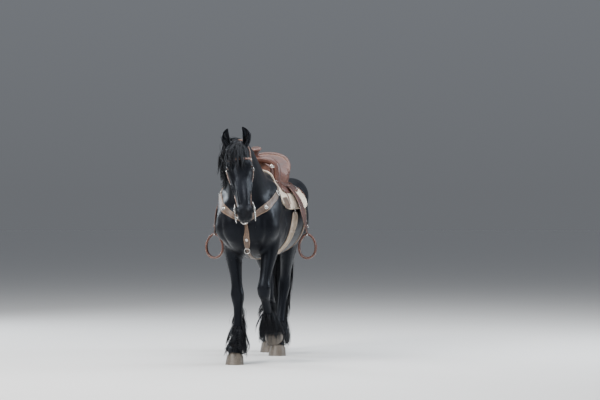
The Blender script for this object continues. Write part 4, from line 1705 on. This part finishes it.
seatPlan = {
    "cantle": ((-0.185, 0.030, 1.430), (-0.180, 0.075, 1.485), (-0.142, 0.130, 1.540), (-0.076, 0.156, 1.568),
               (0.000, 0.163, 1.577), (0.076, 0.156, 1.568), (0.142, 0.130, 1.540), (0.180, 0.075, 1.485), (0.185, 0.030, 1.430)),
    # along, half-width, height, how far its sides drop, how far they lie further forward
    "curves": ((-0.285, 0.100, 1.512, 0.050, 0.00), (-0.20, 0.132, 1.484, 0.055, 0.00), (-0.10, 0.156, 1.465, 0.060, 0.00),
               (0.00, 0.172, 1.462, 0.052, 0.02), (0.065, 0.178, 1.474, 0.038, 0.05), (0.105, 0.176, 1.500, 0.034, 0.06)),
    "across": 61, "along": 6, "roll": 0.0135,
}


def makeSeat():
    rim = easedRows(seatPlan["cantle"], 12)
    shares = np.linspace(-1, 1, seatPlan["across"])
    at = np.linspace(0, len(rim) - 1, seatPlan["across"])
    rim = np.stack([np.interp(at, range(len(rim)), rim[:, k]) for k in range(3)], 1)
    loops = []
    for share, edge in zip(shares, rim):
        keys = [(x * share, y - ahead * share**2, z - drop * share**2) for y, x, z, drop, ahead in seatPlan["curves"]]
        keys.append((edge[0] * 0.985, edge[1] - 0.010, edge[2] - 0.004))
        top = easedRows(keys, seatPlan["along"])
        under = np.array([(edge[0], edge[1] + 0.004, edge[2] - 0.004), (edge[0] * 1.01, edge[1] + 0.006, edge[2] - 0.030),
                          (edge[0] * 1.0, edge[1] - 0.004, max(edge[2] - 0.085, 1.385)), (edge[0] * 0.98, edge[1] - 0.020, 1.365)])
        base = np.array([(x * share, y, 1.355 - 0.03 * share**2) for x, y in ((0.165, 0.0), (0.150, -0.10), (0.125, -0.20), (0.095, -0.285))])
        loops.append(world(np.concatenate([top, under, base])))
    loops = np.array(loops)
    seat = gridPiece("seat", loops)
    seat.data.set_sharp_from_angle(angle=math.radians(48))
    return dress(seat, saddleLeather, "leather", "saddle_seat"), loops


seat, seatLoops = makeSeat()
rimRoute = evenLine(world(seatPlan["cantle"]), 0.006)
rollGirth = seatPlan["roll"] * (0.62 + 0.50 * np.sin(np.linspace(0.10, math.pi - 0.10, len(rimRoute))))
roll = tube("cantle_roll", rimRoute + np.array((0, 0.006, 0.002)), rollGirth, 18, squash=0.85, across=(0, -0.45, 1))
dress(roll, saddleLeather, "leather", "saddle_cantle")
spots = []
for shift, inward in ((np.array((0, -0.0165, -0.0060)), 1), (np.array((0, 0.0150, -0.0120)), 1)):
    line = rimRoute + shift
    along = np.gradient(line, axis=0)
    along /= np.linalg.norm(along, axis=1, keepdims=True)
    run = np.concatenate([[0], np.cumsum(np.linalg.norm(np.diff(line, axis=0), axis=1))])
    for at in np.arange(0.03, run[-1] - 0.03, 0.0056):
        p = np.array([np.interp(at, run, line[:, k]) for k in range(3)])
        w = np.array([np.interp(at, run, along[:, k]) for k in range(3)])
        spots.append((p, np.cross(np.cross(w, (0, -1 if shift[1] < 0 else 1, 0.5)), w), w))
dress(newObject("cantle_stitches", stitchMesh("cantle_stitches", spots, 0.0038, 0.0007)), waxedThread, "leather")

forkPlan = {"route": ((-0.150, 1.352), (-0.154, 1.395), (-0.152, 1.440), (-0.136, 1.486), (-0.090, 1.514), (0, 1.526),
                      (0.090, 1.514), (0.136, 1.486), (0.152, 1.440), (0.154, 1.395), (0.150, 1.352)),
            "y": -0.285, "half": 0.040, "thick": 0.027}


def makeFork():
    line = evenLine([(x, forkPlan["y"] - 0.02 * (1 - (x / 0.16)**2), z) for x, z in forkPlan["route"]], 0.006)
    along = np.gradient(line, axis=0)
    along /= np.linalg.norm(along, axis=1, keepdims=True)
    loops = []
    for i, (p, way) in enumerate(zip(line, along)):
        side = np.array((0, 1.0, 0))
        out = np.cross(way, side)
        share = i / (len(line) - 1)
        swell = 1 + 0.16 * math.exp(-((share - 0.27) / 0.10)**2) + 0.16 * math.exp(-((share - 0.73) / 0.10)**2)
        loops.append(section(tuple(p), tuple(side), tuple(out), forkPlan["half"] * (0.9 + 0.1 * swell), forkPlan["thick"] * swell,
                             forkPlan["thick"] * 0.9, 2.3, 2.3, 36))
    obj = gridPiece("fork", world(np.array(loops)))
    return dress(obj, saddleLeather, "leather", "saddle_fork"), world(line)


fork, forkLine = makeFork()
welt = forkLine[6:-6] + np.array((0, -0.0440, 0.0060))
dress(tube("fork_welt", smoothed(welt, 2), 0.0028, 10), saddleLeather, "leather")

hornPlan = {"rings": ((-0.030, 0.034), (-0.012, 0.030), (0.004, 0.0245), (0.020, 0.0200), (0.036, 0.0180), (0.050, 0.0182), (0.060, 0.0215),
                      (0.0640, 0.0300), (0.0665, 0.0370), (0.0700, 0.0405), (0.0750, 0.0415), (0.0800, 0.0400), (0.0845, 0.0360),
                      (0.0875, 0.0290), (0.0890, 0.0180), (0.0895, 0.0030)), "lean": 16.7}


def makeHorn3():
    lean = math.radians(hornPlan["lean"])
    axis = np.array((0, -math.sin(lean), math.cos(lean)))
    side = np.array((0, -math.cos(lean), -math.sin(lean)))
    foot = np.array((0, forkPlan["y"] - 0.020, 1.530))
    angles = np.arange(48) / 48 * math.tau
    loops = []
    for up, radius in easedRows([(a, b, 0) for a, b in hornPlan["rings"]], 3)[:, :2]:
        wrap = 1 + 0.030 * math.sin(up * 900) * (0.010 < up < 0.058)
        loops.append(foot + axis * up + np.outer(np.cos(angles), (1, 0, 0)) * radius * wrap + np.outer(np.sin(angles), side) * radius * wrap)
    obj = gridPiece("horn", world(np.array(loops)))
    dress(obj, saddleLeather, "leather", "saddle_horn")
    spots = []
    for a in np.arange(0, math.tau, 0.135):
        ring = math.cos(a) * np.array((1, 0, 0)) + math.sin(a) * side
        spots.append((world(foot + axis * 0.0872 + ring * 0.0320), axis, np.cross(axis, ring)))
    dress(newObject("horn_stitches", stitchMesh("horn_stitches", spots, 0.0034, 0.0006)), waxedThread, "leather")


makeHorn3()
print("friesian: seat, cantle, fork and horn")


# ---- fenders and stirrups

fenderPlan = {"top": (0.215, -0.140, 1.330), "length": 0.44, "steps": 9, "laid": 6, "lift": 0.0245, "thick": 0.0042,
              "halves": (0.045, 0.062, 0.080, 0.096, 0.104, 0.100, 0.082, 0.060, 0.042, 0.030), "fine": 10}
stirrupPlan = {"at": (0.360, -0.135, 0.868), "width": 0.064, "height": 0.090, "bar": 0.018, "tread": 0.032, "thick": 0.0085}


def makeFender(side, word):
    root = world((fenderPlan["top"][0] * side, *fenderPlan["top"][1:]))
    path, _ = hang(root, (side, 0, -0.6), fenderPlan["length"] * drawnScale, fenderPlan["steps"], fenderPlan["lift"], 9.0)
    at = stirrupPlan["at"]
    stop = world((at[0] * side, at[1], at[2] + stirrupPlan["height"] + stirrupPlan["thick"]))
    laid, steps = fenderPlan["laid"], fenderPlan["steps"]
    hung = path[laid].copy()
    for i in range(laid, steps + 1):
        path[i] = hung + (stop - hung) * (i - laid) / (steps - laid)
    rows = easedRows([(*p, h) for p, h in zip(smoothed(path, 1), fenderPlan["halves"])], fenderPlan["fine"])
    line, halves = rows[:, :3], rows[:, 3]
    along = np.gradient(line, axis=0)
    along /= np.linalg.norm(along, axis=1, keepdims=True)
    across = np.tile((0.0, 1.0, 0.0), (len(line), 1))
    outs = np.cross(across, along) * -side
    outs *= np.sign(outs[:, :1] * side)
    outs /= np.linalg.norm(outs, axis=1, keepdims=True)
    run = np.concatenate([[0], np.cumsum(np.linalg.norm(np.diff(line, axis=0), axis=1))])
    top, under = np.array(strapEdge), np.linspace(0.97, -0.97, 9)
    loops, flat = [], []
    thick = fenderPlan["thick"]
    for i in range(len(line)):
        share = np.concatenate([top[:, 0], under])
        level = np.concatenate([top[:, 1] * thick - thick / 2, np.full(9, -thick / 2)])
        curl = -0.05 * halves[i] * share**2 * 1.3
        loops.append(line[i] + across[i] * (share * halves[i])[:, None] + outs[i] * (level + curl)[:, None])
        edge = (1 - np.abs(share)) * halves[i]
        flat.append(np.stack([np.full(len(share), run[i]), edge - 0.030], 1))
    obj = gridPiece("fender_panel_" + word, np.array(loops), np.array(flat))
    dress(obj, skirtLeather, "leather", "fender_" + word)
    laidOut = {"line": line - outs * thick / 2, "outs": outs, "across": across, "run": run, "half": halves, "thick": thick,
               "rise": np.array([-0.065 * h * np.linspace(-1, 1, 7)**2 for h in halves]), "shares": np.linspace(-1, 1, 7)}
    stitched("fender_stitches_" + word, laidOut, 0.90, 0.0056, 0.02)
    low = run[-1] - 0.060                        # the keeper strap and its buckle above the stirrup
    place, out, way = spotOn(laidOut, low, 0, 0.002)
    angles = np.arange(40) / 40 * math.tau
    local = np.stack([np.sign(np.cos(angles)) * np.abs(np.cos(angles))**0.4 * 0.050,
                      0 * angles, np.sign(np.sin(angles)) * np.abs(np.sin(angles))**0.4 * 0.0085 - 0.0035], 1)
    hobble = tube("hobble_strap_" + word, movedBy(frameAt(place, out, way), local), 0.0085, 10, ring=True, squash=0.28,
                  across=tuple(way))
    dress(hobble, saddleLeather, "leather")
    buckle("hobble_buckle_" + word, place + out * 0.0075, out, np.cross(way, out), 0.024, 0.022, 0.0018)
    return laidOut


def makeStirrup(side, word):
    count = 84
    loops, flat = [], []
    at = np.array(stirrupPlan["at"]) * (side, 1, 1)
    route, widths = [], []
    for i in range(count):
        angle = math.tau * i / count
        x = math.sin(angle) * stirrupPlan["width"] * (1.0 - 0.28 * max(0, math.cos(angle)))
        z = math.copysign(abs(math.cos(angle))**0.8, math.cos(angle)) * stirrupPlan["height"]
        low = max(0, -math.cos(angle))**2
        route.append(at + (x * side, 0, z))
        widths.append(stirrupPlan["bar"] + (stirrupPlan["tread"] - stirrupPlan["bar"]) * low)
    route = np.array(route)
    along = np.roll(route, -1, axis=0) - np.roll(route, 1, axis=0)
    along /= np.linalg.norm(along, axis=1, keepdims=True)
    run = np.concatenate([[0], np.cumsum(np.linalg.norm(np.diff(route, axis=0), axis=1))])
    for i in range(count):
        out = np.cross(along[i], (0, 1, 0))
        wrap = 1 + 0.05 * abs(math.sin(i * math.pi / 2)) * (count * 0.34 < i < count * 0.66)
        ring = section(tuple(route[i]), (0, 1, 0), tuple(out), widths[i], stirrupPlan["thick"] * wrap, stirrupPlan["thick"] * wrap,
                       3.2, 3.2, 24)
        loops.append(world(ring))
        flat.append(np.stack([np.full(24, run[i]), ring[:, 1] - at[1]], 1))
    obj = gridPiece("stirrup_body_" + word, np.array(loops), np.array(flat), ring=True)
    dress(obj, saddleLeather, "leather", "stirrup_" + word)
    spots = []
    for i in range(4, count - 3, 1):
        out = -np.cross(along[i], (0, 1, 0))
        for reach in (-0.78, 0.78):
            p = world(route[i] + (0, widths[i] * reach, 0)) + out * stirrupPlan["thick"] * drawnScale * 0.93
            spots.append((p, out, along[i]))
    dress(newObject("stirrup_stitches_" + word, stitchMesh("stirrup_stitches_" + word, spots, 0.0036, 0.0007)), waxedThread, "leather")
    top = world(at + (0, 0, stirrupPlan["height"]))
    bolt = np.array([top + (0, y, -0.004) for y in np.linspace(-0.030, 0.030, 14)])
    girth = np.interp(np.abs(np.linspace(-1, 1, 14)), (0, 0.72, 0.78, 0.95, 1), (0.0042, 0.0042, 0.0070, 0.0070, 0.0040))
    dress(tube("stirrup_bolt_" + word, bolt, girth, 16, across=(1, 0, 0)), engravedSilver, "leather")


for side, word in ((1, "left"), (-1, "right")):
    makeFender(side, word)
    makeStirrup(side, word)
print("friesian: fenders and stirrups")


# ---- cinches

cinchPlan = {"cords": 15, "y": -0.230, "half": 0.060, "endHalf": 0.026, "angle": 84, "lean": 0.02, "cord": 0.0040}
rearPlan = {"y": 0.120, "half": 0.024, "angle": 80, "lean": -0.03, "thick": 0.0065}


def bellyLine(y, lean, share, angleFrom, count, lift):
    start, stop = math.radians(angleFrom), math.radians(360 - angleFrom)
    spots = []
    for t in np.linspace(0, 1, count):
        hit, way = trunkSpot(y(t) + lean * (1 - math.sin(math.pi * t)), start + (stop - start) * t)
        spots.append(np.array(hit) + np.array(way) * lift)
    return np.array(spots)


def makeCinch():
    made = []
    for i in range(cinchPlan["cords"]):
        share = 2 * i / (cinchPlan["cords"] - 1) - 1

        def at(t):
            narrow = min(1, 5 * min(t, 1 - t)) ** 0.6
            half = cinchPlan["endHalf"] + (cinchPlan["half"] - cinchPlan["endHalf"]) * narrow
            return cinchPlan["y"] + share * half
        line = smoothed(bellyLine(at, cinchPlan["lean"], share, cinchPlan["angle"], 80, cinchPlan["cord"] * 0.85), 3)
        made.append(tube(f"cord_{i}", line, cinchPlan["cord"] * drawnScale, 10, across=(0, 1, 0)))
    with bpy.context.temp_override(active_object=made[0], selected_editable_objects=made, selected_objects=made, object=made[0]):
        bpy.ops.object.join()
    made[0].name = "cinch_cords"
    dress(made[0], cinchCord, "webbing", "cinch_front")
    for k, at in enumerate((0.16, 0.36, 0.64, 0.84)):       # bands that hold the cords together
        lines = []
        for share in np.linspace(-1, 1, 17):
            start, stop = math.radians(cinchPlan["angle"]), math.radians(360 - cinchPlan["angle"])
            hit, way = trunkSpot(cinchPlan["y"] + share * (cinchPlan["half"] + 0.003) + cinchPlan["lean"] * (1 - math.sin(math.pi * at)),
                                 start + (stop - start) * at)
            lines.append(np.array(hit) + np.array(way) * cinchPlan["cord"] * 1.05)
        band = tube(f"cinch_band_{k}", np.array(lines), 0.0085, 12, squash=0.62, across=tuple(way))
        dress(band, cinchCord, "webbing")
    for word, flip in (("left", 1), ("right", -1)):
        angle = math.radians(cinchPlan["angle"] - 2.5) * flip
        hit, way = trunkSpot(cinchPlan["y"] + cinchPlan["lean"], angle)
        out = np.array(way)
        place = np.array(hit) + out * 0.004
        along = np.cross(out, (0, 1, 0))
        buckle("cinch_buckle_" + word, place, out, along, 0.070, 0.058, 0.0036, "webbing")


def makeRear():
    route, outs = [], []
    start, stop = math.radians(rearPlan["angle"]), math.radians(360 - rearPlan["angle"])
    line = smoothed(bellyLine(lambda t: rearPlan["y"], rearPlan["lean"], 0, rearPlan["angle"], 110, 0.0), 3)
    drawn = (line - standShift) / drawnScale
    obj, laid = strapOn("rear_cinch", skinTree, drawn[::6], rearPlan["half"] * drawnScale, rearPlan["thick"], step=0.006)
    dress(obj, tanTooled, "webbing", "cinch_rear")
    stitched("rear_cinch_stitches", laid, 0.87, slotName="webbing")
    for k, share in enumerate((0.10, 0.90)):
        place, out, along = spotOn(laid, laid["run"][-1] * share, 0, 0.0)
        buckle(f"rear_buckle_{k}", place, out, along, 0.058, 0.036, 0.0026, "webbing")


makeCinch()
makeRear()
print("friesian: cinches")


# ---- breast collar

collarPlan = {
    "left": ((0.215, -0.425, 1.375), (0.232, -0.520, 1.325), (0.215, -0.640, 1.245), (0.172, -0.735, 1.180),
             (0.105, -0.800, 1.125), (0.036, -0.824, 1.080)),
    "right": ((-0.215, -0.425, 1.375), (-0.232, -0.520, 1.320), (-0.205, -0.650, 1.235), (-0.160, -0.740, 1.165),
              (-0.090, -0.803, 1.115), (-0.010, -0.824, 1.080)),
    "drop": ((0.013, -0.822, 1.050), (0.013, -0.815, 0.975), (0.012, -0.770, 0.900), (0.010, -0.690, 0.845),
             (0.006, -0.560, 0.800), (0.003, -0.420, 0.780), (0.000, -0.300, 0.775)),
    "half": 0.0235, "thick": 0.0060, "ring": (0.013, -0.826, 1.072), "ringRadius": 0.026, "dropRing": (0.010, -0.712, 0.848),
}


def collarWidth(t):
    return 0.55 + 0.45 * float(ramp(np.array(t), 0.30, 0.42)) * (1 - 0.35 * float(ramp(np.array(t), 0.88, 1.0))) + 0.30 * math.exp(
        -((t - 0.70) / 0.10)**2)


for word in ("left", "right"):
    obj, laid = strapOn("breast_strap_" + word, skinTree, collarPlan[word], collarPlan["half"], collarPlan["thick"], widthAt=collarWidth)
    dress(obj, tanTooled, "tan_leather", "collar_" + word)
    stitched("breast_stitches_" + word, laid, 0.87, start=laid["run"][-1] * 0.36, slotName="tan_leather")
    total = laid["run"][-1]
    place, out, along = spotOn(laid, total * 0.335, 0, 0.0004)
    buckle("breast_buckle_" + word, place, out, along, 0.044, 0.034, 0.0026, "tan_leather")
    place, out, along = spotOn(laid, total * 0.70, 0, 0.0)
    concho("breast_concho_" + word, place, out, along, 0.0175, "tan_leather")
    place, out, along = spotOn(laid, total * 0.955, 0, 0.0)
    concho("breast_stud_" + word, place, out, along, 0.0110, "tan_leather")


def dropWidth(t):
    return 0.58 + 0.60 * math.exp(-((t - 0.20) / 0.12)**2)


obj, laid = strapOn("tie_down", skinTree, collarPlan["drop"], 0.0225, 0.0060, widthAt=dropWidth)
dress(obj, tanTooled, "tan_leather", "collar_drop")
stitched("tie_down_stitches", laid, 0.87, slotName="tan_leather")
place, out, along = spotOn(laid, laid["run"][-1] * 0.20, 0, 0.0)
concho("tie_down_concho", place, out, along, 0.0150, "tan_leather")
angles = np.arange(60) / 60 * math.tau
ringAt = np.array(collarPlan["ring"])
route = world(ringAt + np.stack([np.cos(angles), 0 * angles, np.sin(angles)], 1) * collarPlan["ringRadius"])
dress(tube("breast_ring", route, 0.0052, 14, ring=True, across=(0, 1, 0)), engravedSilver, "silver", "collar_ring")
hit, normal, _, _ = skinTree.find_nearest(Vector(world(ringAt)))
concho("breast_shield", np.array(hit) + np.array(normal) * 0.004, normal, (0, 0, 1), 0.0225)
route = world(np.array(collarPlan["dropRing"]) + np.stack([np.sin(angles), 0 * angles, np.minimum(np.cos(angles), 0.7)], 1) * 0.020)
dress(tube("tie_down_ring", route, 0.0038, 12, ring=True, across=(0, 1, 0)), engravedSilver, "tan_leather")
print("friesian: breast collar")


# ---- bridle and bit

bridlePlan = {
    "browband": ((0.090, -0.104, 0.100), (0.096, -0.050, 0.120), (0.075, 0.008, 0.136), (0.035, 0.026, 0.142),
                 (0.000, 0.030, 0.143), (-0.035, 0.026, 0.142), (-0.075, 0.008, 0.136), (-0.096, -0.050, 0.120),
                 (-0.090, -0.104, 0.100)),
    "crown": ((0.095, -0.099, 0.130), (0.093, -0.100, 0.095), (0.090, -0.092, 0.040), (0.062, -0.080, -0.020), (0.000, -0.070, -0.045),
              (-0.062, -0.080, -0.020), (-0.090, -0.092, 0.040), (-0.093, -0.100, 0.095),
              (-0.095, -0.099, 0.130)),
    "cheek": ((0.095, -0.098, 0.118), (0.098, -0.098, 0.180), (0.090, -0.098, 0.250), (0.072, -0.096, 0.340),
              (0.062, -0.098, 0.420), (0.060, -0.098, 0.478)),
    "shank": ((0.063, -0.094, 0.468), (0.066, -0.100, 0.500), (0.068, -0.104, 0.530), (0.068, -0.116, 0.558),
              (0.067, -0.124, 0.585)),
    "curb": ((0.066, -0.118, 0.560), (0.054, -0.150, 0.545), (0.000, -0.163, 0.538), (-0.054, -0.150, 0.545),
             (-0.066, -0.118, 0.560)),
}


def headPath(route, side=1):
    return [tuple(onHead(x * side, y, z)) for x, y, z in route]


obj, laid = strapOn("crownpiece", skinTree, headPath(bridlePlan["crown"]), 0.0105, 0.0038, step=0.004, lift=0.0008)
dress(obj, bridleLeather, "strap", "crown_strap")
stitched("crown_stitches", laid, 0.84, 0.0046, slotName="strap")
obj, laid = strapOn("brow", skinTree, headPath(bridlePlan["browband"]), 0.0100, 0.0040, step=0.004)
dress(obj, billetLeather, "strap", "browband")
stitched("brow_stitches", laid, 0.84, 0.0046, slotName="strap")
for side, word in ((1, "left"), (-1, "right")):
    total = laid["run"][-1]
    place, out, along = spotOn(laid, total * (0.10 if side > 0 else 0.90), 0, 0.0)
    concho("brow_concho_" + word, place, out, along, 0.0165, "strap")
for side, word in ((1, "left"), (-1, "right")):
    obj, cheekLaid = strapOn("cheekpiece_" + word, skinTree, headPath(bridlePlan["cheek"], side), 0.0092, 0.0040, step=0.004)
    dress(obj, bridleLeather, "strap", "cheek_strap_" + word)
    stitched("cheek_stitches_" + word, cheekLaid, 0.84, 0.0046, slotName="strap")
    total = cheekLaid["run"][-1]
    place, out, along = spotOn(cheekLaid, total * 0.17, 0, 0.0)
    buckle("cheek_buckle_" + word, place, out, along, 0.027, 0.026, 0.0019, "strap")
    for k, share in enumerate(np.linspace(0.30, 0.86, 9)):
        place, out, along = spotOn(cheekLaid, total * share, 0, 0.0)
        concho(f"cheek_stud_{word}_{k}", place, out, along, 0.0064 if k % 4 else 0.0090, "strap")
    line = evenLine(world(headPath(bridlePlan["shank"], side)), 0.003)
    out = np.array(headFrame.to_3x3() @ Vector((side, 0, 0)))
    share = np.linspace(0, 1, len(line))
    girth = 0.0062 + 0.0055 * np.exp(-((share - 0.30) / 0.16)**2) + 0.0020 * np.exp(-((share - 0.72) / 0.10)**2)
    shank = tube("bit_shank_" + word, line + out * 0.002, girth, 16, squash=0.42, across=tuple(np.array(headFrame.to_3x3() @ Vector((0, 1, 0)))))
    dress(shank, engravedSilver, "silver", "bit_" + word)
    way = np.array(headFrame.to_3x3() @ Vector((0, 0, 1)))
    at = world(headPath([bridlePlan["shank"][1]], side)[0])
    concho("bit_concho_" + word, at + out * 0.0055, out, way, 0.0215)
    forward = np.array(headFrame.to_3x3() @ Vector((0, 1, 0)))
    for name, spot, radius, bar in (("upper", bridlePlan["shank"][0], 0.013, 0.0026), ("lower", bridlePlan["shank"][-1], 0.0135, 0.0028)):
        centre = world(headPath([spot], side)[0])
        ring = centre + (np.cos(angles)[:, None] * forward + np.sin(angles)[:, None] * way) * radius + out * 0.001
        dress(tube(f"bit_ring_{name}_{word}", ring, bar, 12, ring=True, across=tuple(out)), engravedSilver, "silver")
obj, laid = strapOn("curb", skinTree, headPath(bridlePlan["curb"]), 0.0072, 0.0036, step=0.004)
dress(obj, bridleLeather, "strap", "curb_strap")
stitched("curb_stitches", laid, 0.82, 0.0046, slotName="strap")
print("friesian: bridle")

# conchos with their strings at the corners of the skirts and on the fork
for side, word in ((1, "left"), (-1, "right")):
    for k, (y, angle, lift) in enumerate(((-0.320, 30, 0.0275), (0.150, 28, 0.0275), (0.150, 46, 0.0275), (-0.318, 47, 0.0275))):
        hit, way = trunkSpot(y, math.radians(angle) * side)
        place, out = np.array(hit) + np.array(way) * lift, np.array(way)
        concho(f"skirt_concho_{word}_{k}", place, out, (0, 1, 0), 0.0190, "leather")
        for m in (-1, 1):
            start = place + out * 0.006
            line = [start]
            for step in range(14):
                drop = np.array((side * 0.004 * math.sin(step * 0.5), m * (0.0016 + 0.0006 * math.sin(step * 0.9 + k)), -0.0105))
                p = Vector(line[-1] + drop)
                hit2, normal2, _, _ = trunkTree.find_nearest(p)
                lift2 = lift + 0.0045 if step < 12 else lift + 0.003
                if (p - hit2).dot(normal2) < lift2 or step > 1:
                    p = hit2 + normal2 * lift2
                line.append(np.array(p))
            dress(tube(f"string_{word}_{k}_{'a' if m < 0 else 'b'}", smoothed(np.array(line), 2), 0.0026, 8, squash=0.5, across=(0, 1, 0)),
                  saddleLeather, "leather")
    place = world((0.128 * side, -0.285 - 0.036, 1.478))
    concho("fork_concho_" + word, place - np.array((0, 0.0085, 0)), (0.35 * side, -1, 0.2), (0, 0, 1), 0.0200, "leather")


# ---- floor, soft lights and the camera

studio = {"floor": (0.68, 0.67, 0.655), "sky": (0.84, 0.90, 1.00), "skyStrength": 0.26}


def makeFloor():
    bm = bmesh.new()
    rings = [[bm.verts.new((r * math.cos(a), r * math.sin(a), 0)) for a in np.linspace(0, math.tau, 48, endpoint=False)]
             for r in (2, 6, 14, 30, 60)]
    bm.faces.new(rings[0])
    for inner, outer in zip(rings, rings[1:]):
        for k in range(48):
            bm.faces.new((inner[k], outer[k], outer[(k + 1) % 48], inner[(k + 1) % 48]))
    floor = newObject("studio_floor", meshOf(bm))
    material, tree, shader, place = finish("paleFloor")
    shade = put(tree, "TexNoise", {"Vector": place, "Scale": 1.4, "Detail": 6.0, "Roughness": 0.6}).outputs[0]
    tree.links.new(blended(tree, shade, tuple(c * 0.96 for c in studio["floor"]), studio["floor"]), shader.inputs["Base Color"])
    tree.links.new(between(tree, shade, 0.2, 0.8, (0.70, 0.80)), shader.inputs["Roughness"])
    setShader(shader, Specular_IOR_Level=0.2)
    floor.data.materials.append(material)


def makeSurround():
    surround = bpy.data.worlds.new("studio")
    bpy.context.scene.world = surround
    surround.use_nodes = True
    tree = surround.node_tree
    up = put(tree, "SeparateXYZ", {0: put(tree, "TexCoord").outputs["Generated"]}).outputs[2]
    low = tuple(c * share for c, share in zip(studio["sky"], studio["floor"]))     # the far floor's own brightness
    shade = blended(tree, between(tree, up, 0.0, 0.30), low, studio["sky"])
    tree.links.new(shade, tree.nodes["Background"].inputs[0])
    tree.nodes["Background"].inputs[1].default_value = studio["skyStrength"]


def makeLight(name, place, target, size, power, colour):
    data = bpy.data.lights.new(name, "AREA")
    data.shape, data.size, data.size_y = "RECTANGLE", size[0], size[1]
    data.energy, data.color = power, colour
    obj = bpy.data.objects.new(name, data)
    bpy.context.scene.collection.objects.link(obj)
    obj.location = place
    obj.rotation_euler = (Vector(target) - Vector(place)).to_track_quat("-Z", "Y").to_euler()


def makeCamera():
    turn = math.radians(10)
    back = np.array((math.sin(turn), -math.cos(turn), 0))
    right = np.array((math.cos(turn), math.sin(turn), 0))
    spot = world((-0.12, -0.58, 0) + back * 15.2 + right * (66.5 / 2050 * 15.2))
    spot[2] = 1.28 * drawnScale
    data = bpy.data.cameras.new("camera")
    data.lens, data.sensor_width, data.shift_y = 123, 36, -8 / 600
    data.clip_end = 80
    camera = bpy.data.objects.new("camera", data)
    bpy.context.scene.collection.objects.link(camera)
    camera.location = spot
    camera.rotation_euler = Vector(-back).to_track_quat("-Z", "Y").to_euler()
    bpy.context.scene.camera = camera


makeFloor()
makeLight("key_light", (-3.2, -5.0, 5.4), (0, 0, 1.2), (2.6, 2.0), 640, (1.0, 0.975, 0.94))
makeLight("top_light", (0.4, -0.4, 6.4), (0, 0.1, 1.0), (7.0, 7.0), 820, (0.93, 0.965, 1.0))
makeLight("rim_left", (5.0, 2.0, 3.4), (0, 0.2, 1.2), (1.6, 2.6), 300, (0.86, 0.93, 1.0))
makeLight("rim_right", (-5.2, 3.2, 3.2), (0, 0.2, 1.2), (1.6, 2.6), 270, (0.86, 0.93, 1.0))
makeLight("front_fill", (2.8, -6.6, 2.6), (0, -0.2, 1.1), (2.2, 1.8), 110, (0.95, 0.98, 1.0))
makeSurround()
makeCamera()

print("friesian: size written")
